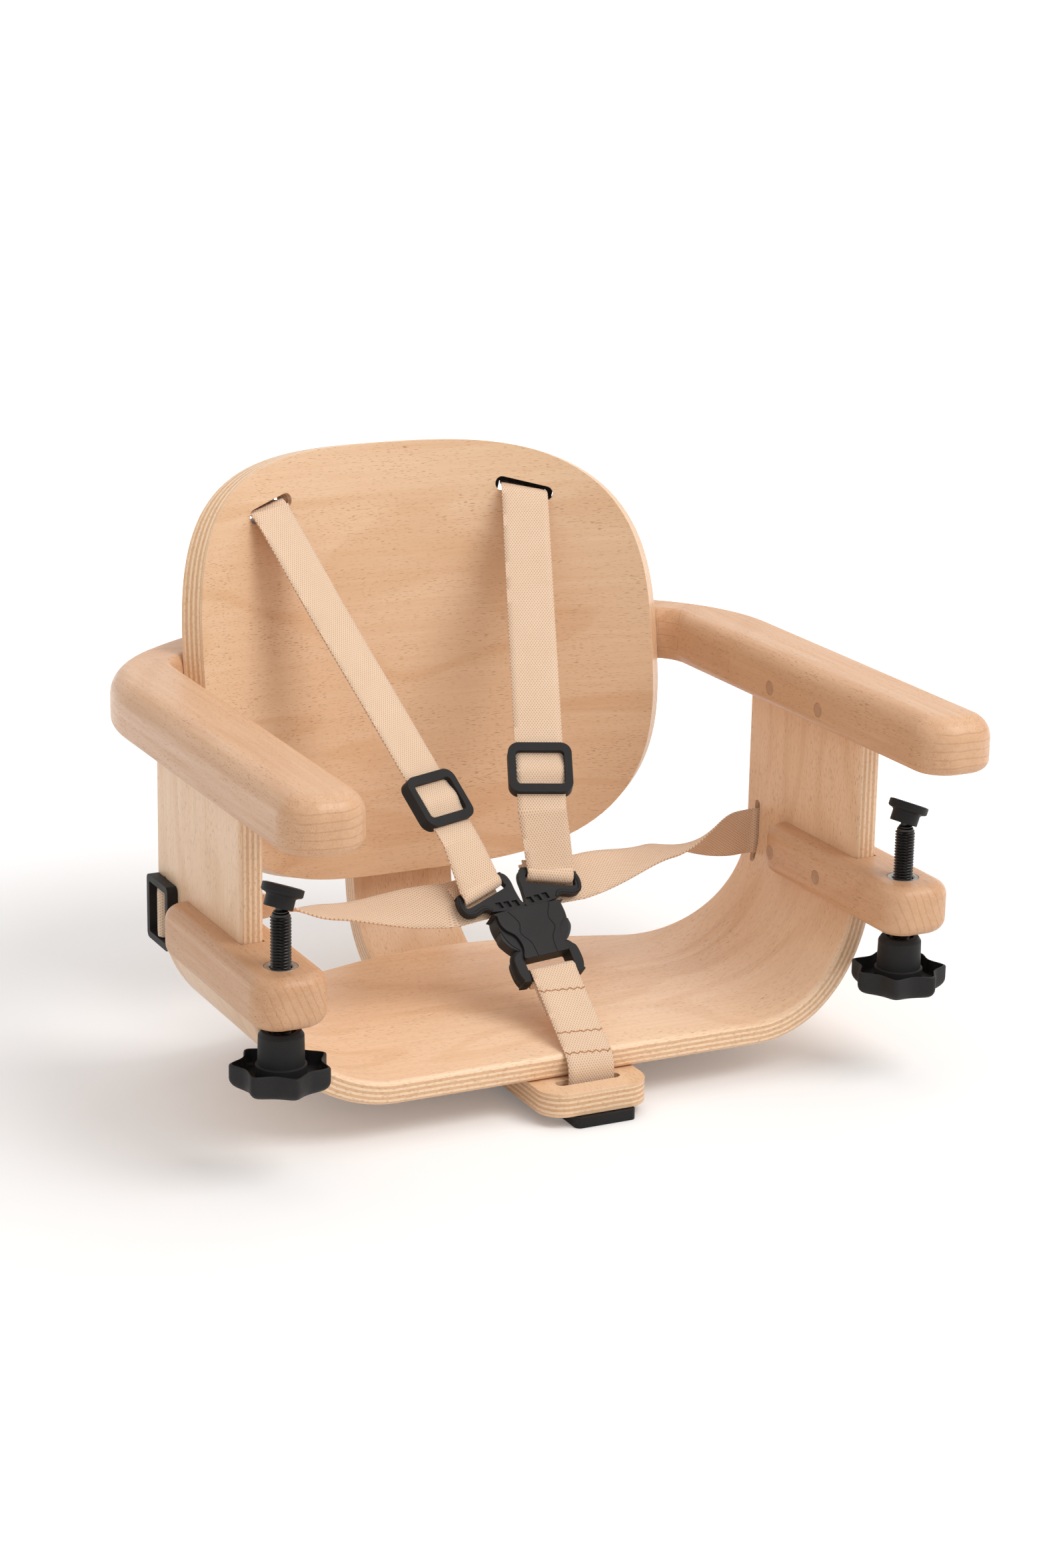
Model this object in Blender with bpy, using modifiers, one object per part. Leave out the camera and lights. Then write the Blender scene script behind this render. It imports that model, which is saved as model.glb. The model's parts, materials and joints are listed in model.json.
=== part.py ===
"""Hook-on high chair: bent plywood seat, backrest and spine, a solid wood ring of
arms and rail, two table clamps with swivel pads, and a five point harness.

Metres, +Z up. The front is -Y and the seat is centred on X = 0. The origin is on
the spine's flat underside, in the plane of the side panels' front edges. Left and
right are as seen from the front: left is -X.
"""
import math

import bmesh
import bpy
from mathutils import Matrix, Vector

# Shared clearances and steps
GAP = 0.0003                 # clearance between pieces that touch
MERGE = 0.00002              # distance under which points are one point
OVERRUN = 0.004              # how far a cutter runs past what it cuts
REACH = 0.6                  # size of a cutter that only has to reach everywhere
ARC_STEP = math.radians(10)
CORNER_STEP = math.radians(22.5)
SLOT_STEP = math.radians(36)
ROUND_STEPS = 18
SMALL_ROUND_STEPS = 12

# Bent plywood
PLY = 0.012
RIM_ROUND = 0.0028
SPINE_ROUND = 0.0025

# Seat shell: a flat seat that turns up into two side panels
PANEL_OUTER = 0.174
PANEL_DEPTH = 0.112
SEAT_BEND = 0.075            # outer radius of the bend
SEAT_FRONT = 0.014           # how far the seat reaches forward of the panels
SEAT_REAR = 0.160            # rear edge of the seat at its middle
SEAT_FLAT_SHARES = (0, 0.25, 0.5, 0.75)
SEAT_BEND_STEPS = 7
WAIST_SLOT_Y = 0.100
WAIST_SLOT_LENGTH = 0.034
WAIST_SLOT_WIDTH = 0.005
WAIST_SLOT_DROP = 0.0133     # slot's middle below the top of the clamp blocks

# Ring: two arms and a rail, 28 mm high
ARM_BOTTOM = 0.1663
ARM_HEIGHT = 0.028
ARM_SHIFT = 0.003            # how far an arm's middle lies inside its panel's
ARM_WIDTH = 0.042
ARM_TIP_Y = -0.090
ARM_TIP_ROUND = 0.015
ARM_TOP_ROUND = 0.011
ARM_LOW_ROUND = 0.004
RAIL_CENTRE_Y = 0.0127
RAIL_INNER = 0.2073
RAIL_OUTER = 0.241
RAIL_EASE = 0.320            # wider radius that leads into the corners
EASE_START = math.radians(27)
INNER_CORNER = 0.0172
OUTER_CORNER = 0.0609
JOINT_PAST = math.radians(1.75)   # finger joint's heading past the backrest's edge
FINGER_COUNT = 4
FINGER_LENGTH = 0.012
TENON = 0.016

# Clamp blocks
BLOCK_TOP = 0.0993
BLOCK_HEIGHT = 0.026
BLOCK_WIDTH = 0.038
BLOCK_FRONT = -0.056
BLOCK_REAR = 0.076
BLOCK_FRONT_ROUND = 0.011
BLOCK_REAR_ROUND = 0.0124
BLOCK_EDGE_ROUND = 0.006

# Dowels that pin the panels
DOWEL_RADIUS = 0.00375
DOWEL_REACH = 0.004          # how far a dowel runs past the panel
ARM_DOWEL_Y = (0.014, 0.062)
ARM_DOWEL_HEIGHT = 0.0096    # above the arm's underside
BLOCK_DOWEL_Y = (0.0176, 0.064)
BLOCK_DOWEL_DROP = 0.0136    # below the block's top

# Table clamp: threaded insert, rod, knob, ball stud and swivel pad
CLAMP_Y = -0.0348
INSERT_RADIUS = 0.008
INSERT_HEIGHT = 0.020
ROD_RADIUS = 0.005
ROD_HOLE = 0.0055
ROD_TIP_RADIUS = 0.0036
ROD_TIP_CHAMFER = 0.0014
ROD_LENGTH = 0.0795
PIVOT_HEIGHT = 0.0327        # ball centre above the block's top
BALL_RADIUS = 0.004
SOCKET_RADIUS = 0.0043
NECK_RADIUS = 0.0024
NECK_FOOT_RADIUS = 0.0029
NECK_DROP = 0.005            # end of the plain neck below the ball's centre
NECK_FOOT_DROP = 0.00625
ROD_DROP = 0.0066            # rod's end below the ball's centre
SHANK_RADIUS = 0.002
SHANK_LENGTH = 0.010
PAD_RADIUS = 0.010
PAD_TOP = 0.006              # pad's face above the ball's centre
PAD_DISC = 0.0039
PAD_EDGE = 0.0008
PAD_CONE = 0.0014
BOSS_RADIUS = 0.007
BOSS_DROP = 0.0047           # boss's end below the ball's centre
SOCKET_MOUTH_DROP = 0.002
SOCKET_FLARE = 0.0053
PAD_LEAN = math.radians(22)
LEFT_PAD_HEADING = math.radians(26)
RIGHT_PAD_HEADING = math.radians(13)
KNOB_RADIUS = 0.024
KNOB_LOBES = 6
KNOB_SCALLOP = 0.0034
KNOB_HEIGHT = 0.012
KNOB_EDGE = 0.002
KNOB_POINTS = 36
KNOB_GROOVE = 0.002
KNOB_GROOVE_WIDTH = 0.004
HUB_RADIUS = 0.01075
HUB_HEIGHT = 0.016
HUB_EDGE = 0.0012
HUB_CLEARANCE = 0.005        # hub's end below the block

# Backrest: a concave panel that leans back
BACK_BOTTOM = 0.0573
BACK_BOTTOM_Y = 0.190        # front face at the middle of the bottom edge
BACK_HEIGHT = 0.231
BACK_LAP = 0.0005            # how far the backrest reaches past an arm's inner face
BACK_POWER = 2.9             # power of the rounded outline
BACK_RADIUS = 0.195          # radius of the front face
BACK_LEAN = math.radians(9.5)
BACK_POINTS = 48
BACK_STRIPS = 14
BACK_SLOT_OUT = 0.0777
BACK_SLOT_DROP = 0.0296      # a strap slot's middle below the top edge
BACK_SLOT_HEIGHT = BACK_HEIGHT - BACK_SLOT_DROP
BACK_SLOT_LENGTH = 0.029
BACK_SLOT_WIDTH = 0.007
BACK_SLOT_SLOPE = math.radians(16)

# Spine: a strip under the seat that turns up behind the backrest
SPINE_WIDTH = 0.058
SPINE_FRONT = -0.035
SPINE_CORNER = 0.013
SPINE_BEND = 0.040           # inner radius of the bend
SPINE_STRIPS = 7
TAB_SLOT_Y = -0.020
TAB_SLOT_LENGTH = 0.0348
TAB_SLOT_WIDTH = 0.0065

# Wood screws
SCREW_RADIUS = 0.0023
SCREW_HEAD_RADIUS = 0.0045
SCREW_HEAD = 0.003
SCREW_BITE = 0.008           # how deep a screw goes into the second piece
SEAT_SCREW_Y = (0.050, 0.125)
SPINE_SCREW_RISE = (0.040, 0.085)
RAIL_SCREW_X = 0.050

# Webbing, sliders and adjusters
WEB_WIDTH = 0.025
WEB_THICK = 0.0014
WEB_TURN = 0.003             # radius of a turn round a slider's bar
TURN_STEPS = 5
SLIDER_WIDTH = 0.033
SLIDER_LENGTH = 0.029
SLIDER_THICK = 0.0053
SLIDER_RAIL = 0.0035
SLIDER_BAR = 0.003
SLIDER_BAR_THICK = 0.0026
SLIDER_CORNER = 0.003
SLIDER_EDGE = 0.0007
ADJUSTER_THICK = 0.0062
ADJUSTER_WINDOW = 0.019
ADJUSTER_BAR = 0.0038
ADJUSTER_PLACE = Vector((0.0335, 0.0955, 0.1333))
ADJUSTER_LINE = Vector((-0.236, -0.60, -0.765))
ADJUSTER_ACROSS = Vector((-0.90, 0.41, 0.08))
ADJUSTER_UP_RUN = 0.058      # straight webbing above an adjuster's middle
ADJUSTER_DOWN_RUN = 0.024
STRAP_STAND = 0.0012         # webbing's middle off the wall at a slot
STRAP_LEAD_SHARE = 0.6       # of the ply, straight out of a shoulder slot
STRAP_DROP_SHARES = (0.06, 0.5)   # where a shoulder strap turns down
STRAP_STEPS = 3

# Buckle and its tongues, in the buckle's own frame: u across, w up, n out
BUCKLE_SHIFT = 0.004
BUCKLE_Y = 0.057
BUCKLE_Z = 0.0773
BUCKLE_SLOPE = math.radians(45)
BUCKLE_TWIST = math.radians(4.5)
BUCKLE_LENGTH = 0.043
BUCKLE_HALF = 0.0195
BUCKLE_THICK = 0.011
BUCKLE_EDGE = 0.0018
BUCKLE_BAR = 0.0044
BUCKLE_WINDOW = 0.0085
BUTTON_TOP = 0.0100          # below the buckle's upper end
BUTTON_LENGTH = 0.0110
BUTTON_INNER = 0.0128
BUTTON_OUTER = 0.0200
BUTTON_THICK = 0.0070
BUTTON_TRAVEL = 0.0018
BUTTON_EDGE = 0.0012
TONGUE_THICK = 0.0036
TONGUE_DROP = 0.0018         # tongue's face below the buckle's face
TONGUE_WIDE = 0.035
TONGUE_TALL = 0.020
TONGUE_STEM = 0.014
TONGUE_STEM_INNER = 0.0025
TONGUE_STEM_OUTER = 0.0095
TONGUE_EDGE = 0.0011
TONGUE_SLOT = 0.0050
TONGUE_BAR = 0.0033
TONGUE_TURN = 0.0036
TONGUE_TAIL = 0.009
STRAP_SAG = 0.004
BIGHT_START = math.radians(-15)
BIGHT_END = math.radians(180)
BIGHT_STEPS = 7
WAIST_STEPS = 6
WAIST_TWISTS = (BUCKLE_SLOPE, 0, math.radians(-86), math.radians(-90))
CROTCH_TURN_GAP = 0.0009     # webbing's clearance round the buckle's bar
WEB_LAYER_GAP = 0.0006       # between a strap and its doubled end
WEB_STEPS = 2

# Outline of half a tongue, as shares of its width and height, and of half the
# buckle, as shares of its half width and length. Both start at the seam.
TONGUE_SHARES = (
    (0.010, 0.020), (0.040, 0.250), (0.062, 0.560), (0.068, 0.800), (0.100, 0.980),
    (0.160, 1.080), (0.250, 1.095), (0.935, 0.730), (0.990, 0.640), (1.010, 0.470),
    (0.990, 0.270), (0.945, 0.150), (0.880, 0.098), (0.790, 0.092), (0.715, 0.130),
    (0.640, 0.175), (0.580, 0.150), (0.545, 0.090), (0.530, 0.015))
TONGUE_SLOT_SHARES = ((0.165, 0.685), (0.890, 0.295))
WAIST_TAIL_SHARES = ((0.250, 0.720), (1.050, 0.660))
BUCKLE_SHARES = (
    (0.000, 0.000), (0.900, 0.000), (0.965, 0.030), (1.000, 0.120), (0.985, 0.240),
    (0.900, 0.400), (0.770, 0.500), (0.680, 0.545), (0.690, 0.575), (0.800, 0.600),
    (0.900, 0.640), (0.940, 0.720), (0.940, 0.860), (0.880, 0.960), (0.760, 1.000),
    (0.000, 1.000))
BUTTON_SHARES = ((0.000, 0.000), (0.250, 0.000), (0.780, 0.300), (1.000, 0.620),
                 (0.900, 1.000), (0.000, 1.000))
# The crotch strap's rise, as shares of its reach and climb, and its doubled end
CROTCH_RISE_SHARES = ((0.0, 0.10), (0.05, 0.34), (0.17, 0.62), (0.37, 0.88),
                      (0.60, 1.02), (0.82, 1.04))
CROTCH_END_SHARES = ((0.82, 0.02), (0.60, 0.02), (0.42, 0.12))

# Sizes that follow from the ones above
SEAT_BOTTOM = PLY + GAP
SEAT_MIDDLE = SEAT_BOTTOM + PLY / 2
PANEL_MIDDLE = PANEL_OUTER - PLY / 2
PANEL_INNER = PANEL_OUTER - PLY
PANEL_TOP = ARM_BOTTOM + TENON
SEAT_FLAT = PANEL_OUTER - SEAT_BEND
SEAT_TURN = SEAT_BEND - PLY / 2
SEAT_TURN_LENGTH = SEAT_TURN * math.pi / 2
ARM_INNER = PANEL_MIDDLE - ARM_SHIFT - ARM_WIDTH / 2
ARM_OUTER = ARM_INNER + ARM_WIDTH
BACK_HALF_WIDTH = ARM_INNER + BACK_LAP
BLOCK_BOTTOM = BLOCK_TOP - BLOCK_HEIGHT
BLOCK_INNER = PANEL_MIDDLE - BLOCK_WIDTH / 2
PIVOT_Z = BLOCK_TOP + PIVOT_HEIGHT
HUB_TOP = BLOCK_BOTTOM - HUB_CLEARANCE
KNOB_BOTTOM = HUB_TOP - HUB_HEIGHT - KNOB_HEIGHT
BACK_MIDDLE_RADIUS = BACK_RADIUS + PLY / 2
WAIST_SLOT_Z = BLOCK_TOP - WAIST_SLOT_DROP

TIMBER = ("solid_beech", (0.60, 0.36, 0.19, 1), 0.45, 0)
PLYWOOD = ("bent_plywood", (0.66, 0.42, 0.24, 1), 0.42, 0)
DOWEL_WOOD = ("dowel_wood", (0.62, 0.40, 0.24, 1), 0.55, 0)
WEBBING = ("webbing", (0.66, 0.48, 0.30, 1), 0.9, 0)
PLASTIC = ("black_plastic", (0.03, 0.03, 0.033, 1), 0.5, 0)
ZINC = ("zinc", (0.55, 0.55, 0.56, 1), 0.35, 1)
STEEL = ("blackened_steel", (0.05, 0.05, 0.055, 1), 0.35, 1)


def clear_scene():
    for thing in list(bpy.data.objects):
        bpy.data.objects.remove(thing, do_unlink=True)


def new_collection(name):
    group = bpy.data.collections.new(name)
    bpy.context.scene.collection.children.link(group)
    return group


def get_material(finish):
    name, colour, roughness, metallic = finish
    made = bpy.data.materials.get(name)
    if made is None:
        made = bpy.data.materials.new(name)
        made.use_nodes = True
        shader = made.node_tree.nodes["Principled BSDF"]
        shader.inputs["Base Color"].default_value = colour
        shader.inputs["Roughness"].default_value = roughness
        shader.inputs["Metallic"].default_value = metallic
    return made


def add_part(name, mesh, finish, place=Matrix()):
    """Puts a mesh in the parts collection as one named sub-part."""
    part = bpy.data.objects.new(name, mesh)
    part.matrix_world = place
    mesh.materials.clear()
    mesh.materials.append(get_material(finish))
    mesh.shade_smooth()
    mesh.set_sharp_from_angle(angle=math.radians(35))
    PARTS.objects.link(part)
    return part


def add_cutter(name, mesh, place=Matrix()):
    cutter = bpy.data.objects.new(name, mesh)
    cutter.matrix_world = place
    cutter.hide_render = True
    cutter.display_type = "WIRE"
    CUTTERS.objects.link(cutter)
    return cutter


def boolean(part, cutter, operation="DIFFERENCE"):
    step = part.modifiers.new(cutter.name, "BOOLEAN")
    step.operation = operation
    step.solver = "EXACT"
    step.object = cutter


def bevel(part, width, segments, by_weight=False):
    step = part.modifiers.new("rounded_edges", "BEVEL")
    step.width = width
    step.segments = segments
    step.limit_method = "WEIGHT" if by_weight else "ANGLE"
    step.angle_limit = math.radians(50)
    step.use_clamp_overlap = True


def solidify(part, thickness):
    step = part.modifiers.new("thickness", "SOLIDIFY")
    step.thickness = thickness
    step.offset = 0
    step.use_even_offset = True
    step.use_rim = True


def evaluated_mesh(thing):
    bpy.context.view_layer.update()
    graph = bpy.context.evaluated_depsgraph_get()
    return bpy.data.meshes.new_from_object(thing.evaluated_get(graph))


def prism_mesh(outlines, low, high):
    """Fills flat outlines, the first one's holes being the others, and extrudes."""
    flat = bpy.data.curves.new("outline", "CURVE")
    flat.dimensions = "2D"
    flat.fill_mode = "BOTH"
    flat.extrude = (high - low) / 2
    for outline in outlines:
        line = flat.splines.new("POLY")
        line.points.add(len(outline) - 1)
        line.use_cyclic_u = True
        for point, place in zip(line.points, outline):
            point.co = (place[0], place[1], 0, 1)
    guide = bpy.data.objects.new("outline", flat)
    CUTTERS.objects.link(guide)
    mesh = evaluated_mesh(guide)
    bpy.data.objects.remove(guide, do_unlink=True)
    work = bmesh.new()
    work.from_mesh(mesh)
    bmesh.ops.remove_doubles(work, verts=work.verts, dist=MERGE)
    bmesh.ops.dissolve_limit(work, angle_limit=math.radians(0.5),
                             verts=work.verts, edges=work.edges)
    bmesh.ops.translate(work, verts=work.verts, vec=(0, 0, (low + high) / 2))
    bmesh.ops.recalc_face_normals(work, faces=work.faces)
    work.to_mesh(mesh)
    work.free()
    return mesh


def box_mesh(low, high):
    work = bmesh.new()
    bmesh.ops.create_cube(work, size=1)
    size = [b - a for a, b in zip(low, high)]
    middle = [(a + b) / 2 for a, b in zip(low, high)]
    bmesh.ops.transform(work, verts=work.verts,
                        matrix=Matrix.Translation(middle) @ Matrix.Diagonal(size + [1]))
    mesh = bpy.data.meshes.new("box")
    work.to_mesh(mesh)
    work.free()
    return mesh


def rod_mesh(radius, length, steps=SMALL_ROUND_STEPS):
    """A cylinder from the origin along +Z."""
    work = bmesh.new()
    bmesh.ops.create_cone(work, cap_ends=True, segments=steps, radius1=radius,
                          radius2=radius, depth=length)
    bmesh.ops.translate(work, verts=work.verts, vec=(0, 0, length / 2))
    mesh = bpy.data.meshes.new("rod")
    work.to_mesh(mesh)
    work.free()
    return mesh


def turned_mesh(profile, steps=ROUND_STEPS):
    """Turns a profile of radius and height about Z."""
    line = bpy.data.meshes.new("profile")
    points = [(radius, 0, height) for radius, height in profile]
    line.from_pydata(points, [(i, i + 1) for i in range(len(points) - 1)], [])
    guide = bpy.data.objects.new("profile", line)
    CUTTERS.objects.link(guide)
    turn = guide.modifiers.new("turn", "SCREW")
    turn.axis = "Z"
    turn.angle = math.tau
    turn.steps = steps
    turn.render_steps = steps
    turn.use_merge_vertices = True
    turn.merge_threshold = MERGE
    mesh = evaluated_mesh(guide)
    bpy.data.objects.remove(guide, do_unlink=True)
    work = bmesh.new()
    work.from_mesh(mesh)
    bmesh.ops.recalc_face_normals(work, faces=work.faces)
    work.to_mesh(mesh)
    work.free()
    return mesh


def strip_mesh(stations, rows=1):
    """An open sheet through pairs of edge points."""
    work = bmesh.new()
    bmesh.ops.create_grid(work, x_segments=len(stations) - 1, y_segments=rows, size=1)
    across = rows + 1
    order = sorted(work.verts, key=lambda vert: (round(vert.co.x, 5), vert.co.y))
    for index, vert in enumerate(order):
        one, other = stations[index // across]
        vert.co = one.lerp(other, (index % across) / rows)
    mesh = bpy.data.meshes.new("strip")
    work.to_mesh(mesh)
    work.free()
    return mesh


def arc(centre, radius, start, end, step=ARC_STEP):
    """Points of a plan arc. Angles are headings, from +Y towards +X."""
    count = max(2, math.ceil(abs(end - start) / step))
    headings = [start + (end - start) * i / count for i in range(count + 1)]
    return [(centre[0] + radius * math.sin(a), centre[1] + radius * math.cos(a))
            for a in headings]


def rounded_rectangle(low, high, radii):
    """Corner radii in the order rear right, front right, front left, rear left."""
    corners = ((high[0], high[1], -1, -1), (high[0], low[1], -1, 1),
               (low[0], low[1], 1, 1), (low[0], high[1], 1, -1))
    outline = []
    for quarter, ((x, y, side, end), radius) in enumerate(zip(corners, radii)):
        centre = (x + side * radius, y + end * radius)
        start = quarter * math.pi / 2
        outline += arc(centre, radius, start, start + math.pi / 2, CORNER_STEP)
    return outline


def long_slot(length, width, centre=(0, 0), tilt=0):
    """A slot with round ends, along X before it is tilted."""
    half = (length - width) / 2
    points = arc((half, 0), width / 2, 0, math.pi, SLOT_STEP)
    points += arc((-half, 0), width / 2, math.pi, math.tau, SLOT_STEP)
    turn = Matrix.Rotation(tilt, 2)
    moved = [turn @ Vector(point) for point in points]
    return [(centre[0] + p.x, centre[1] + p.y) for p in moved]


def smooth_route(points, count):
    """Catmull-Rom curve through points, sampled evenly between each pair."""
    ends = [points[0] * 2 - points[1]] + list(points) + [points[-1] * 2 - points[-2]]
    route = []
    for i in range(1, len(ends) - 2):
        a, b, c, d = ends[i - 1:i + 3]
        for step in range(count):
            t = step / count
            route.append((b * 2 + (c - a) * t + (a * 2 - b * 5 + c * 4 - d) * t * t
                          + (b * 3 - a - c * 3 + d) * t * t * t) / 2)
    route.append(points[-1].copy())
    return route


def frame_matrix(origin, x_axis, y_axis, z_axis):
    columns = Matrix((x_axis, y_axis, z_axis)).transposed()
    return Matrix.Translation(origin) @ columns.to_4x4()


def along(origin, axis):
    """A frame whose Z runs along axis."""
    return Matrix.Translation(origin) @ axis.to_track_quat("Z", "Y").to_matrix().to_4x4()


def seat_edges(run):
    """Front and rear edges of the seat at a distance along it from the middle."""
    end = SEAT_FLAT + SEAT_TURN_LENGTH
    turned = min(max((run - SEAT_FLAT) / SEAT_TURN_LENGTH, 0), 1)
    front = -SEAT_FRONT * (0.5 + 0.5 * math.cos(math.pi * turned))
    wave = 0.5 + 0.5 * math.cos(math.pi * min(run / end, 1))
    return front, PANEL_DEPTH + (SEAT_REAR - PANEL_DEPTH) * wave


def seat_stations():
    """Edge points of the seat's middle surface, from the left panel to the right."""
    flat = [SEAT_FLAT * share for share in SEAT_FLAT_SHARES]
    half = [(run, run, SEAT_MIDDLE) for run in flat]
    for i in range(SEAT_BEND_STEPS + 1):
        angle = math.pi / 2 * i / SEAT_BEND_STEPS
        half.append((SEAT_FLAT + SEAT_TURN * angle,
                     SEAT_FLAT + SEAT_TURN * math.sin(angle),
                     SEAT_MIDDLE + SEAT_TURN * (1 - math.cos(angle))))
    half.append((SEAT_FLAT + SEAT_TURN_LENGTH, PANEL_MIDDLE, PANEL_TOP))
    stations = []
    for side, places in ((-1, reversed(half)), (1, half[1:])):
        for run, x, z in places:
            front, rear = seat_edges(run)
            stations.append((Vector((side * x, front, z)), Vector((side * x, rear, z))))
    return stations


def seat_shell():
    part = add_part("seat_shell", strip_mesh(seat_stations()), PLYWOOD)
    solidify(part, PLY)
    bevel(part, RIM_ROUND, 2)
    slot = long_slot(WAIST_SLOT_LENGTH, WAIST_SLOT_WIDTH)
    turn = frame_matrix((0, WAIST_SLOT_Y, WAIST_SLOT_Z), (0, 0, 1), (0, 1, 0), (-1, 0, 0))
    for side in (-1, 1):
        reach = PLY / 2 + OVERRUN
        mesh = prism_mesh([slot], -side * PANEL_MIDDLE - reach, -side * PANEL_MIDDLE + reach)
        boolean(part, add_cutter("waist_slot_cut", mesh, turn))
        for y, z, start in dowel_places():
            boolean(part, dowel_hole(side, y, z, start))
    for y in SEAT_SCREW_Y:
        boolean(part, screw_bite(Vector((0, y, 0)), Vector((0, 0, 1))))
    return part


def panel_clearance(side):
    """The slot that a side panel and its bend need in a clamp block."""
    rear = BLOCK_REAR + OVERRUN
    stations = []
    for edge, _ in seat_stations():
        if edge.x * side > SEAT_FLAT:
            stations.append((Vector((edge.x, edge.y - GAP, edge.z)),
                             Vector((edge.x, rear, edge.z))))
    guide = add_cutter("panel_clearance", strip_mesh(stations))
    solidify(guide, PLY + 2 * GAP)
    return guide


def dowel_places():
    """Y, height and start, from the centre plane, of each dowel on one side."""
    places = [(y, ARM_BOTTOM + ARM_DOWEL_HEIGHT, ARM_INNER) for y in ARM_DOWEL_Y]
    places += [(y, BLOCK_TOP - BLOCK_DOWEL_DROP, BLOCK_INNER) for y in BLOCK_DOWEL_Y]
    return places


def dowel_hole(side, y, z, start):
    length = PANEL_OUTER + DOWEL_REACH + GAP - start + OVERRUN
    mesh = rod_mesh(DOWEL_RADIUS + GAP, length)
    place = along(Vector((side * (start - OVERRUN), y, z)), Vector((side, 0, 0)))
    return add_cutter("dowel_hole", mesh, place)


def dowels(side, word):
    names = ("front_arm_dowel", "rear_arm_dowel", "front_block_dowel", "rear_block_dowel")
    for name, (y, z, start) in zip(names, dowel_places()):
        length = PANEL_OUTER + DOWEL_REACH - start - GAP
        place = along(Vector((side * (start + GAP), y, z)), Vector((side, 0, 0)))
        add_part(f"{word}_{name}", rod_mesh(DOWEL_RADIUS, length), DOWEL_WOOD, place)


def ring_outline():
    """Plan of both arms and the rail, from the right arm round to the left."""
    centre = (0, RAIL_CENTRE_Y)
    shift = RAIL_EASE - RAIL_INNER
    ease = (centre[0] - shift * math.sin(EASE_START), centre[1] - shift * math.cos(EASE_START))
    reach = RAIL_EASE - INNER_CORNER
    ease_end = math.asin((ARM_INNER - INNER_CORNER - ease[0]) / reach)
    inner_corner = (ARM_INNER - INNER_CORNER, ease[1] + reach * math.cos(ease_end))
    reach = RAIL_OUTER - OUTER_CORNER
    corner_start = math.asin((ARM_OUTER - OUTER_CORNER) / reach)
    outer_corner = (ARM_OUTER - OUTER_CORNER, centre[1] + reach * math.cos(corner_start))
    tip_y = ARM_TIP_Y + ARM_TIP_ROUND
    quarter = math.pi / 2
    half = arc(centre, RAIL_OUTER, 0, corner_start)
    half += arc(outer_corner, OUTER_CORNER, corner_start, quarter)[1:]
    half += arc((ARM_OUTER - ARM_TIP_ROUND, tip_y), ARM_TIP_ROUND, quarter, 2 * quarter)
    half += arc((ARM_INNER + ARM_TIP_ROUND, tip_y), ARM_TIP_ROUND, 2 * quarter, 3 * quarter)
    half += arc(inner_corner, INNER_CORNER, quarter, ease_end)
    half += arc(ease, RAIL_EASE, ease_end, EASE_START)[1:]
    half += arc(centre, RAIL_INNER, EASE_START, 0)[1:]
    return half + [(-x, y) for x, y in reversed(half[1:-1])]


def ring_blank(name):
    """The whole ring with its edges rounded, before it is divided."""
    mesh = prism_mesh([ring_outline()], ARM_BOTTOM, ARM_BOTTOM + ARM_HEIGHT)
    part = add_part(name, mesh, TIMBER)
    weights = mesh.attributes.new("bevel_weight_edge", "FLOAT", "EDGE")
    for edge in mesh.edges:
        ends = [mesh.vertices[i].co.z for i in edge.vertices]
        if abs(ends[0] - ends[1]) < MERGE:
            on_top = ends[0] > ARM_BOTTOM + ARM_HEIGHT / 2
            weights.data[edge.index].value = 1 if on_top else ARM_LOW_ROUND / ARM_TOP_ROUND
    bevel(part, ARM_TOP_ROUND, 3, by_weight=True)
    return part


def joint_heading():
    """Heading of a finger joint, just past the backrest's edge."""
    edge = back_point(BACK_HALF_WIDTH, BACK_HEIGHT / 2, PLY / 2)
    return math.atan2(edge.x, edge.y - RAIL_CENTRE_Y) + JOINT_PAST


def finger_region(side, grow):
    """All that lies on an arm's side of its finger joint, moved out by grow."""
    layer = ARM_HEIGHT / FINGER_COUNT
    points = [(REACH, -REACH)]
    for k in range(FINGER_COUNT):
        owns = k % 2 == 0
        edge = (-FINGER_LENGTH / 2 if owns else FINGER_LENGTH / 2) - grow
        low = k * layer + (-grow if owns else grow)
        high = (k + 1) * layer + (grow if owns else -grow)
        points += [(edge, -REACH if k == 0 else low)]
        points += [(edge, REACH if k == FINGER_COUNT - 1 else high)]
    points += [(REACH, REACH)]
    mesh = prism_mesh([points], -REACH, REACH)
    heading = joint_heading()
    tangent = Vector((side * math.cos(heading), -math.sin(heading), 0))
    radial = tangent.cross(Vector((0, 0, 1)))
    place = frame_matrix((0, RAIL_CENTRE_Y, ARM_BOTTOM), tangent, (0, 0, 1), radial)
    return add_cutter("finger_region", mesh, place)


def back_clearance():
    """The space that the backrest takes out of the ring."""
    half = BACK_HALF_WIDTH + GAP
    outline = [(-half, 0), (half, 0), (half, BACK_HEIGHT), (-half, BACK_HEIGHT)]
    mesh = prism_mesh([outline], -PLY - OVERRUN, PLY / 2 + GAP)
    bend_panel(mesh)
    return add_cutter("back_clearance", mesh)


def arm(side, word):
    part = ring_blank(f"{word}_arm")
    boolean(part, finger_region(side, -GAP / 2), "INTERSECT")
    edges = sorted((side * (PANEL_INNER - GAP), side * (PANEL_OUTER + GAP)))
    mortise = box_mesh((edges[0], -GAP, ARM_BOTTOM - OVERRUN),
                       (edges[1], PANEL_DEPTH + GAP, PANEL_TOP + GAP))
    boolean(part, add_cutter("arm_mortise", mortise))
    for y, z, start in dowel_places():
        if start == ARM_INNER:
            boolean(part, dowel_hole(side, y, z, start))


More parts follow.
